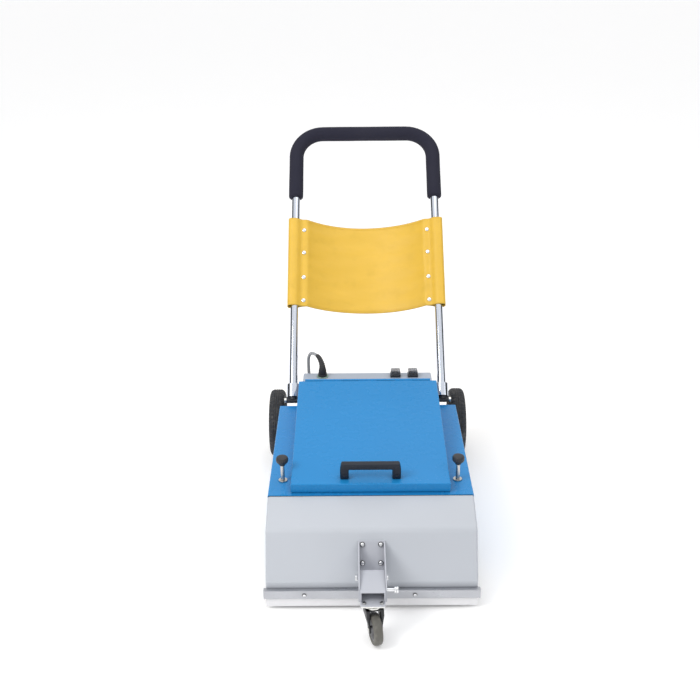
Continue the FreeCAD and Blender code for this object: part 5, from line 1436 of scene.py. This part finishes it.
class STEPCLEANER_OT_adjusters(bpy.types.Operator):
    """Makes the two height adjusters: screw with its thread, and moulded knob"""
    bl_idname = "stepcleaner.adjusters"
    bl_label = "Height Adjusters"

    def execute(self, context):
        made = make_materials()
        for side, sign in (("left", -1), ("right", 1)):
            middle = at(221 * sign, 234, 0)
            knob = self.knob(middle)
            paint(knob, made["black_plastic"])
            screw = self.screw(middle)
            paint(screw, made["steel"])
            for piece, name, finish in ((knob, "adjuster_knob_", "black_plastic"),
                                        (screw, "adjuster_screw_", "steel")):
                piece.name = name + side
                piece.data.name = name + side
                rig.ride(piece, "adjuster_" + side)
                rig.slot(piece, finish)
            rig.replaces(knob, "adjuster_" + side)
        return {"FINISHED"}

    def knob(self, middle):
        """Funnel-shaped knob with a fluted rim and a rounded top."""
        low, high, wide, neck = 0.2655, 0.290, 0.0155, 0.0075
        outline = [(0.0052, low + 0.001), (neck - 0.0008, low), (neck, low + 0.0008), (neck, low + 0.0026),
                   (0.0092, low + 0.0046), (0.0117, low + 0.0068), (0.014, low + 0.0095),
                   (wide, low + 0.0126),
                   (wide, high - 0.0062), (wide - 0.0006, high - 0.0038), (wide - 0.0022, high - 0.0018),
                   (wide - 0.005, high - 0.0006), (0.006, high - 0.0002), (0.0015, high)]
        steps = 72
        deselect()
        bpy.ops.mesh.primitive_circle_add(vertices=steps, radius=outline[0][0], fill_type="NGON",
                                          location=(0, 0, outline[0][1]))
        knob = bpy.context.active_object
        bpy.ops.object.transform_apply(location=True)
        pick(knob, lambda c, n: True)
        spot = outline[0]
        for radius, height in outline[1:]:
            bpy.ops.mesh.extrude_region_move(TRANSFORM_OT_translate={"value": (0, 0, height - spot[1])})
            share = radius / spot[0]
            bpy.ops.transform.resize(value=(share, share, 1), center_override=(0, 0, height))
            spot = (radius, height)
        done(knob)
        for vert in knob.data.vertices:
            r = math.hypot(vert.co.x, vert.co.y)
            if r > wide - 0.0012 and low + 0.0125 < vert.co.z < high - 0.003:
                angle = math.atan2(vert.co.y, vert.co.x)
                share = (r - 0.0007 * (0.5 - 0.5 * math.cos(angle * 18))) / r
                vert.co.x *= share
                vert.co.y *= share
        outward(knob)
        knob.data.transform(Matrix.Translation(middle))
        smooth(knob, 30)
        return knob

    def screw(self, middle):
        """Steel rod with its collar, and a rolled thread on its lower half."""
        low, top, radius = 0.104, 0.272, 0.005
        turns, per = 34, 20
        thread_high = low + turns * 0.002
        corners, faces = [], []
        for i in range(turns * per + 1):
            angle = 2 * math.pi * i / per
            rise = low + 0.002 * i / per
            for r, up in ((radius - 0.0009, 0), (radius, 0.0007), (radius, 0.001), (radius - 0.0009, 0.0017)):
                corners.append((r * math.cos(angle), r * math.sin(angle), rise + up * 0.98))
        for i in range(turns * per):
            for k in range(4):
                a, b = i * 4 + k, i * 4 + (k + 1) % 4
                faces.append((a, b, b + 4, a + 4))
        faces += [(0, 1, 2, 3), tuple(turns * per * 4 + k for k in (3, 2, 1, 0))]
        mesh = bpy.data.meshes.new("thread_ridge")
        mesh.from_pydata([Vector(c) for c in corners], [], faces)
        ridge = bpy.data.objects.new("thread_ridge", mesh)
        bpy.context.scene.collection.objects.link(ridge)
        outward(ridge)
        pieces = [ridge]
        deselect()
        for r, a, b in ((radius - 0.0008, low - 0.0005, thread_high + 0.003),
                        (radius, thread_high + 0.002, top),
                        (0.009, 0.2105, 0.216)):
            bpy.ops.mesh.primitive_cylinder_add(vertices=40, radius=r, depth=b - a,
                                                location=(0, 0, (a + b) / 2))
            rod = bpy.context.active_object
            soften = rod.modifiers.new("Round", "BEVEL")
            soften.width = 0.0005
            soften.segments = 2
            soften.angle_limit = math.radians(50)
            apply_all(rod)
            pieces.append(rod)
        screw = joined(pieces, "screw")
        bpy.ops.object.transform_apply(location=True, rotation=True, scale=True)
        screw.data.transform(Matrix.Translation(middle))
        smooth(screw, 30)
        return screw


class STEPCLEANER_OT_lid_handle(bpy.types.Operator):
    """Makes the moulded bridge handle on the lid"""
    bl_idname = "stepcleaner.lid_handle"
    bl_label = "Lid Handle"

    def execute(self, context):
        made = make_materials()
        low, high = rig.box("lid_handle")
        half = (high.x - low.x) / 2
        slope = math.radians(6.28)
        foot = at(0, 172, 247) + Vector((0, 0.026 * math.cos(slope), 0.026 * math.sin(slope)))
        tall, deep, bar, post = 0.045, 0.018, 0.0165, 0.0215
        deselect()
        bpy.ops.mesh.primitive_cube_add(size=1, location=(0, 0, tall / 2))
        grab = context.active_object
        grab.scale = (2 * half, deep, tall)
        bpy.ops.object.transform_apply(location=True, rotation=False, scale=True)
        choose(grab)
        bpy.ops.object.mode_set(mode="EDIT")
        for x in (-half + post, half - post):
            bpy.ops.mesh.select_all(action="SELECT")
            bpy.ops.mesh.bisect(plane_co=(x, 0, 0), plane_no=(1, 0, 0))
        bpy.ops.mesh.select_all(action="SELECT")
        bpy.ops.mesh.bisect(plane_co=(0, 0, tall - bar), plane_no=(0, 0, 1))
        done(grab)
        pick(grab, lambda c, n: abs(c.x) < half - post - 0.001 and c.z < tall - bar + 0.0001)
        bpy.ops.mesh.delete(type="FACE")
        done(grab)
        edges = []
        for x in (-half + post, half - post):
            edges.append(lambda m, d, x=x: abs(m.x - x) < 0.0001 and m.z < tall - bar + 0.0001)
        for test in edges:
            pick(grab, test, "EDGE")
            bpy.ops.mesh.edge_face_add()
            done(grab)
        pick(grab, lambda m, d: abs(m.z - (tall - bar)) < 0.0001 and abs(m.x) < half - post + 0.0001
             and (abs(m.x) < 0.001 or abs(abs(m.x) - half + post) < 0.0001), "EDGE")
        bpy.ops.mesh.edge_face_add()
        done(grab)
        outward(grab)
        for vert in grab.data.vertices:
            if abs(vert.co.x) > half - 0.001 and vert.co.z > tall - 0.001:
                vert.co.x *= (half - 0.0035) / half
        soften = grab.modifiers.new("Round", "BEVEL")
        soften.width = 0.0034
        soften.segments = 5
        soften.angle_limit = math.radians(40)
        apply_all(grab)
        pieces = [grab]
        for x in (-half + post / 2, half - post / 2):
            bpy.ops.mesh.primitive_cylinder_add(vertices=32, radius=0.0042, depth=0.0012,
                                                location=(x, -deep / 2 - 0.0001, 0.012),
                                                rotation=(math.pi / 2, 0, 0))
            pieces.append(context.active_object)
        handle = joined(pieces, "lid_bridge_handle")
        bpy.ops.object.transform_apply(location=True, rotation=True, scale=True)
        handle.data.transform(Matrix.Translation(foot) @ Matrix.Rotation(slope, 4, "X"))
        smooth(handle, 40)
        paint(handle, made["handle_plastic"])
        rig.ride(handle, "lid")
        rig.replaces(handle, "lid_handle")
        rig.slot(handle, "black_plastic")
        return {"FINISHED"}


class STEPCLEANER_OT_switches(bpy.types.Operator):
    """Makes the two rocker switches: bezel, rocker and clear boot"""
    bl_idname = "stepcleaner.switches"
    bl_label = "Switches"

    def execute(self, context):
        made = make_materials()
        top = 0.275
        bezels, boots = [], []
        for side, x in (("left", 0.083), ("right", 0.134)):
            middle = Vector((x, 0.722 + FRAME_SHIFT, top))
            bezels.append(self.bezel(middle))
            rocker = self.rocker(middle, made)
            rocker.name = "rocker_" + side
            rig.ride(rocker, "switch_" + side)
            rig.replaces(rocker, "switch_rocker_" + side)
            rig.slot(rocker, "black_plastic")
            boots.append(self.boot(middle))
        bezel = joined(bezels, "switch_bezels")
        smooth(bezel, 30)
        paint(bezel, made["black_plastic"])
        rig.ride(bezel, "body")
        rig.replaces(bezel, "switch_bodies")
        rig.slot(bezel, "black_plastic")
        boot = joined(boots, "switch_clear_boots")
        smooth(boot, 60)
        paint(boot, made["boot"])
        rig.ride(boot, "body")
        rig.replaces(boot, "switch_boots")
        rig.slot(boot, "clear_boot")
        return {"FINISHED"}

    def block(self, middle, size, lift, bevel, segments):
        deselect()
        bpy.ops.mesh.primitive_cube_add(size=1, location=middle + Vector((0, 0, lift + size[2] / 2)))
        block = bpy.context.active_object
        block.scale = size
        bpy.ops.object.transform_apply(location=True, rotation=False, scale=True)
        if bevel:
            soften = block.modifiers.new("Round", "BEVEL")
            soften.width = bevel
            soften.segments = segments
            apply_all(block)
        return block

    def bezel(self, middle):
        """Frame with a deep well, over a body that goes through the panel."""
        frame_top = self.block(middle, (0.03, 0.025, 0.007), 0, 0, 0)
        pick(frame_top, lambda c, n: n.z > 0.9)
        bpy.ops.mesh.inset(thickness=0.0045)
        bpy.ops.mesh.extrude_region_move(TRANSFORM_OT_translate={"value": (0, 0, -0.0065)})
        done(frame_top)
        soften = frame_top.modifiers.new("Round", "BEVEL")
        soften.width = 0.0012
        soften.segments = 3
        soften.angle_limit = math.radians(50)
        apply_all(frame_top)
        stem = self.block(middle, (0.021, 0.017, 0.025), -0.025, 0.0006, 2)
        tabs = [self.block(middle + Vector((dx, 0, 0)), (0.0048, 0.0008, 0.008), -0.033, 0.0002, 1)
                for dx in (-0.006, 0.0, 0.006)]
        return joined([frame_top, stem] + tabs, "bezel")

    def rocker(self, middle, made):
        """Tipped rocker cap with a dished face and a moulded bar at its on end."""
        half = 0.0085
        outline = [(-0.006, 0.0), (-0.0065, 0.007), (-0.0045, 0.0067), (-0.002, 0.0053), (0.0, 0.0047),
                   (0.0025, 0.0056),
                   (0.0048, 0.0081), (0.0065, 0.0095), (0.006, 0.0), (0.0, -0.0035)]
        deselect()
        bpy.ops.mesh.primitive_circle_add(vertices=len(outline), radius=0.01, fill_type="NGON")
        rocker = bpy.context.active_object
        for vert, (y, z) in zip(rocker.data.vertices, outline):
            vert.co = (-half, y, z)
        pick(rocker, lambda c, n: True)
        bpy.ops.mesh.extrude_region_move(TRANSFORM_OT_translate={"value": (2 * half, 0, 0)})
        done(rocker)
        outward(rocker)
        soften = rocker.modifiers.new("Round", "BEVEL")
        soften.width = 0.0006
        soften.segments = 2
        soften.angle_limit = math.radians(45)
        apply_all(rocker)
        bar = self.block(Vector((0, 0.0042, 0)), (0.0042, 0.0011, 0.0006), 0.0074, 0.0002, 1)
        bar.data.transform(Matrix.Rotation(0.62, 4, "X"))
        bar.data.transform(Matrix.Translation((0, 0.0042 - 0.0042 * math.cos(0.62) + 0.0044, -0.0016)))
        for piece, finish in ((rocker, "black_plastic"), (bar, "pale_skirt")):
            paint(piece, made[finish])
        whole = joined([rocker, bar], "rocker")
        whole.data.transform(Matrix.Translation(middle + Vector((0, 0, 0.003))))
        smooth(whole, 35)
        return whole

    def boot(self, middle):
        """Clear moulded boot: a skirt that grips the bezel, a soft shoulder and a crown over the rocker."""
        deselect()
        bpy.ops.mesh.primitive_cube_add(size=1, location=middle + Vector((0, 0, 0.0107)))
        boot = bpy.context.active_object
        boot.scale = (0.0284, 0.0234, 0.0074)
        bpy.ops.object.transform_apply(location=True, rotation=False, scale=True)
        pick(boot, lambda c, n: n.z > 0.9)
        for thickness, rise in ((0.0004, 0.0026), (0.0008, 0.0024), (0.0016, 0.0016), (0.0026, 0.0009),
                                (0.003, 0.0001)):
            bpy.ops.mesh.inset(thickness=thickness)
            bpy.ops.transform.translate(value=(0, 0, rise))
        done(boot)
        pick(boot, lambda c, n: n.z < -0.9)
        bpy.ops.mesh.delete(type="FACE")
        done(boot)
        soften = boot.modifiers.new("Soft", "BEVEL")
        soften.width = 0.0024
        soften.segments = 4
        soften.angle_limit = math.radians(12)
        apply_all(boot)
        wall = boot.modifiers.new("Wall", "SOLIDIFY")
        wall.thickness = 0.0009
        wall.offset = -1
        apply_all(boot)
        return boot
# Caster and its bolts.

SWIVEL_AT = at(0, -92, 0)
SWIVEL_TURN = 14.0
TRAIL = -0.022
CASTER_R = 0.0375


def swivelled(obj):
    """Turns a caster piece drawn straight ahead to the angle at which the caster stands."""
    spin = Matrix.Rotation(math.radians(SWIVEL_TURN), 4, "Z")
    obj.data.transform(Matrix.Translation(SWIVEL_AT) @ spin)
    return obj


def rounded(outline, deep):
    """Block with an outline of (y, z) points from x = deep[0] to deep[1]."""
    deselect()
    bpy.ops.mesh.primitive_circle_add(vertices=len(outline), radius=0.01, fill_type="NGON")
    block = bpy.context.active_object
    for vert, (y, z) in zip(block.data.vertices, outline):
        vert.co = (deep[0], y, z)
    pick(block, lambda c, n: True)
    bpy.ops.mesh.extrude_region_move(TRANSFORM_OT_translate={"value": (deep[1] - deep[0], 0, 0)})
    done(block)
    outward(block)
    return block


def bevelled(obj, width, segments=3, limit=35):
    soften = obj.modifiers.new("Round", "BEVEL")
    soften.width = width
    soften.segments = segments
    soften.angle_limit = math.radians(limit)
    apply_all(obj)
    return obj


class STEPCLEANER_OT_caster(bpy.types.Operator):
    """Makes the caster: moulded fork, axle, hub with its web, and tyre"""
    bl_idname = "stepcleaner.caster"
    bl_label = "Caster"

    def execute(self, context):
        made = make_materials()
        for piece, finish, body, slot, node in (
                (self.fork(), "fork", "caster_fork", "black_plastic", "caster_fork"),
                (self.axle(), "pale_zinc", "caster_fork", "zinc", None),
                (self.hub(), "grey_plastic", "caster_wheel", "grey_plastic", "caster_hub"),
                (self.tyre(), "caster_tyre", "caster_wheel", "caster_tyre", "caster_tyre")):
            swivelled(piece)
            smooth(piece, 35)
            paint(piece, made[finish])
            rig.ride(piece, body)
            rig.slot(piece, slot)
            if node:
                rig.replaces(piece, node)
        return {"FINISHED"}

    def fork(self):
        """Black fork whose legs taper from the crown to the axle."""
        high, foot, half, low_half, gap = 0.089, CASTER_R - 0.01, 0.021, 0.0155, 0.013
        outline = [(0.016, high), (-0.022, high),
                   (TRAIL - 0.0096, CASTER_R - 0.001), (TRAIL - 0.0085, CASTER_R - 0.005),
                   (TRAIL - 0.0055, CASTER_R - 0.0085), (TRAIL - 0.002, foot), (TRAIL + 0.003, foot),
                   (TRAIL + 0.0068, CASTER_R - 0.0075), (TRAIL + 0.0092, CASTER_R - 0.003)]
        pieces = []
        for sign in (-1, 1):
            leg = rounded(outline, (gap * sign, half * sign))
            choose(leg)
            bpy.ops.object.mode_set(mode="EDIT")
            for z in (0.072, 0.062, 0.053, CASTER_R + 0.007):
                bpy.ops.mesh.select_all(action="SELECT")
                bpy.ops.mesh.bisect(plane_co=(0, 0, z), plane_no=(0, 0, 1))
            done(leg)
            for vert in leg.data.vertices:
                if abs(vert.co.x) > gap + 0.001:
                    share = min(1, max(0, (vert.co.z - CASTER_R - 0.007) / (0.072 - CASTER_R - 0.007)))
                    vert.co.x = sign * (low_half + (half - low_half) * share)
            pieces.append(bevelled(leg, 0.0014))
        crown = rounded([(0.016, high), (-0.022, high), (-0.022, high - 0.003), (0.016, high - 0.003)],
                        (-half + 0.0002, half - 0.0002))
        pieces.append(bevelled(crown, 0.0008, 2))
        fork = joined(pieces, "caster_fork_moulding")
        return fork

    def axle(self):
        """Race ring, and the axle with a domed head at each end."""
        pieces = []
        deselect()
        bpy.ops.mesh.primitive_cylinder_add(vertices=64, radius=0.022, depth=0.0056, location=(0, 0, 0.0919))
        pieces.append(bevelled(bpy.context.active_object, 0.0015, 3))
        bpy.ops.mesh.primitive_cylinder_add(vertices=32, radius=0.004, depth=0.033,
                                            location=(0, TRAIL, CASTER_R), rotation=(0, math.pi / 2, 0))
        pieces.append(bpy.context.active_object)
        for sign in (-1, 1):
            bpy.ops.mesh.primitive_cylinder_add(vertices=32, radius=0.0065, depth=0.0022,
                                                location=(sign * 0.0166, TRAIL, CASTER_R),
                                                rotation=(0, math.pi / 2, 0))
            pieces.append(bevelled(bpy.context.active_object, 0.0009, 4))
        axle = joined(pieces, "caster_axle_and_race")
        bpy.ops.object.transform_apply(location=True, rotation=True, scale=True)
        return axle

    def hub(self):
        """Hub with a boss, a thin web and a rim that stands proud of it."""
        outline = [(-0.0126, 0.0042), (-0.0126, 0.0072), (-0.0122, 0.0078), (-0.0055, 0.0092),
                   (-0.0035, 0.011),
                   (-0.003, 0.0195), (-0.0045, 0.0212), (-0.0082, 0.0222), (-0.009, 0.0228), (-0.009, 0.0259)]
        outline += [(-x, r) for x, r in reversed(outline)]
        return lathe("caster_wheel_hub", outline, Vector((0, TRAIL, CASTER_R)), 72)

    def tyre(self):
        """Tyre with a crowned tread, a mould line round its middle and a step on each wall."""
        half = 0.0105
        outline = [(-0.0088, 0.0256), (-half + 0.0004, 0.0262), (-half, 0.0268), (-half, 0.0285),
                   (-half + 0.0003, 0.0289), (-half + 0.0003, 0.0335), (-half + 0.0008, 0.0348),
                   (-half + 0.002, 0.0362), (-half + 0.0036, 0.0369),
                   (-0.0035, 0.03735), (-0.0005, 0.03742), (-0.00025, 0.0375)]
        outline += [(-x, r) for x, r in reversed(outline)]
        return lathe("caster_wheel_tyre", outline, Vector((0, TRAIL, CASTER_R)), 96)


class STEPCLEANER_OT_front_bolts(bpy.types.Operator):
    """Makes the bracket's four bolts, the arm's pivot bolt with its nut, and the strip's screws"""
    bl_idname = "stepcleaner.front_bolts"
    bl_label = "Front Bolts"

    def execute(self, context):
        made = make_materials()
        rings, bolts = [], []
        for place, way, wide, tall, sides in BOLTS:
            turn = Vector((0, 0, 1)).rotation_difference(Vector(way)).to_matrix().to_4x4()
            there = Matrix.Translation(at(*place)) @ turn
            if sides == 0:
                rings.append(self.turned(wide * 1.42, 0.0011, 40, there, 0.0003))
            bolts.append(self.head(wide, tall, sides, there))
        bolt = joined(bolts, "front_bolt_heads")
        ring = joined(rings, "front_bolt_washers")
        for piece, finish in ((bolt, "bright"), (ring, "dark_steel")):
            smooth(piece, 35)
            paint(piece, made[finish])
            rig.ride(piece, "body")
            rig.slot(piece, "zinc")
        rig.replaces(bolt, "front_fasteners")
        return {"FINISHED"}

    def turned(self, radius, tall, sides, there, bevel):
        deselect()
        bpy.ops.mesh.primitive_cylinder_add(vertices=sides, radius=radius, depth=tall,
                                            location=(0, 0, tall / 2))
        piece = bpy.context.active_object
        bpy.ops.object.transform_apply(location=True)
        bevelled(piece, bevel, 2, 50)
        piece.data.transform(there)
        return piece

    def head(self, wide, tall, sides, there):
        """Bolt head: a dome with a round socket, or a hexagon with a raised face."""
        deselect()
        if sides == 0:
            bpy.ops.mesh.primitive_cylinder_add(vertices=48, radius=wide, depth=tall,
                                                location=(0, 0, tall / 2 + 0.0011))
            head = bpy.context.active_object
            bpy.ops.object.transform_apply(location=True)
            pick(head, lambda c, n: n.z > 0.9)
            for inset, rise in ((wide * 0.18, tall * 0.28), (wide * 0.22, tall * 0.16), (wide * 0.08, 0.0)):
                bpy.ops.mesh.inset(thickness=inset)
                bpy.ops.transform.translate(value=(0, 0, rise))
            bpy.ops.mesh.extrude_region_move(TRANSFORM_OT_translate={"value": (0, 0, -tall * 0.5)})
            done(head)
        else:
            bpy.ops.mesh.primitive_cylinder_add(vertices=sides, radius=wide, depth=tall,
                                                location=(0, 0, tall / 2))
            head = bpy.context.active_object
            bpy.ops.object.transform_apply(location=True)
            pick(head, lambda c, n: n.z > 0.9)
            bpy.ops.mesh.inset(thickness=wide * 0.16)
            bpy.ops.transform.translate(value=(0, 0, wide * 0.05))
            done(head)
            bevelled(head, 0.0004, 2, 50)
        head.data.transform(there)
        return head


HOOD_FOOT, HOOD_FOLD = (14, 72), (70, 182)
HOOD_RISE = math.dist(HOOD_FOOT, HOOD_FOLD)
HOOD_UP = ((HOOD_FOLD[0] - HOOD_FOOT[0]) / HOOD_RISE, (HOOD_FOLD[1] - HOOD_FOOT[1]) / HOOD_RISE)


def hood_face(x, rise, lift):
    """Point on the hood's flat front: across, up along the sheet from its foot, and out from it."""
    y, z = HOOD_UP
    return (x, HOOD_FOOT[0] + y * rise - z * lift, HOOD_FOOT[1] + z * rise + y * lift)


def front_bolt_list():
    """Place, direction, radius, height and sides (0 for a socket head) of each bolt at the front."""
    out = (0, -HOOD_UP[1], HOOD_UP[0])
    middle = (132 - HOOD_FOOT[1]) / HOOD_UP[1]
    bolts = [(hood_face(x, middle + y, 3.0), out, 0.0046, 0.0034, 0) for x in (-22, 22) for y in (-22, 22)]
    bolts += [((x, 0, 44.5), (0, -1, 0), 0.0038, 0.0012, 0) for x in (-162, 103)]
    bolts += [((-33.8, -30, 118), (-1, 0, 0), 0.0075, 0.006, 6),
              ((32.3, -30, 118), (1, 0, 0), 0.0064, 0.005, 6)]
    return bolts


BOLTS = front_bolt_list()


class STEPCLEANER_PT_panel(bpy.types.Panel):
    """Lists the machine's colours, sizes and building steps"""
    bl_idname = "STEPCLEANER_PT_panel"
    bl_label = "Step Cleaner"
    bl_space_type = "VIEW_3D"
    bl_region_type = "UI"
    bl_category = "Step Cleaner"

    def draw(self, context):
        for group in (context.scene.step_cleaner_colours, context.scene.step_cleaner_sizes):
            box = self.layout.box()
            for name in group.__annotations__:
                box.prop(group, name)
        for step in STEPS:
            self.layout.operator(step.bl_idname)


STEPS = [c for c in list(globals().values())
         if isinstance(c, type) and issubclass(c, bpy.types.Operator) and c.__module__ == __name__]
CLASSES = [StepCleanerColours, StepCleanerSizes, *STEPS, STEPCLEANER_PT_panel]


def register():
    for c in CLASSES:
        bpy.utils.register_class(c)
    bpy.types.Scene.step_cleaner_colours = bpy.props.PointerProperty(type=StepCleanerColours)
    bpy.types.Scene.step_cleaner_sizes = bpy.props.PointerProperty(type=StepCleanerSizes)


def unregister():
    del bpy.types.Scene.step_cleaner_colours
    del bpy.types.Scene.step_cleaner_sizes
    for c in reversed(CLASSES):
        bpy.utils.unregister_class(c)


def main():
    register()
    low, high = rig.bounds()
    for step in STEPS:
        group, name = step.bl_idname.split(".")
        getattr(getattr(bpy.ops, group), name)()
    bpy.context.view_layer.update()
    after_low, after_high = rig.bounds()
    with open("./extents.json", "w") as out:
        json.dump({"cad": [list(low), list(high)], "visual": [list(after_low), list(after_high)]}, out)


if __name__ == "__main__":
    main()
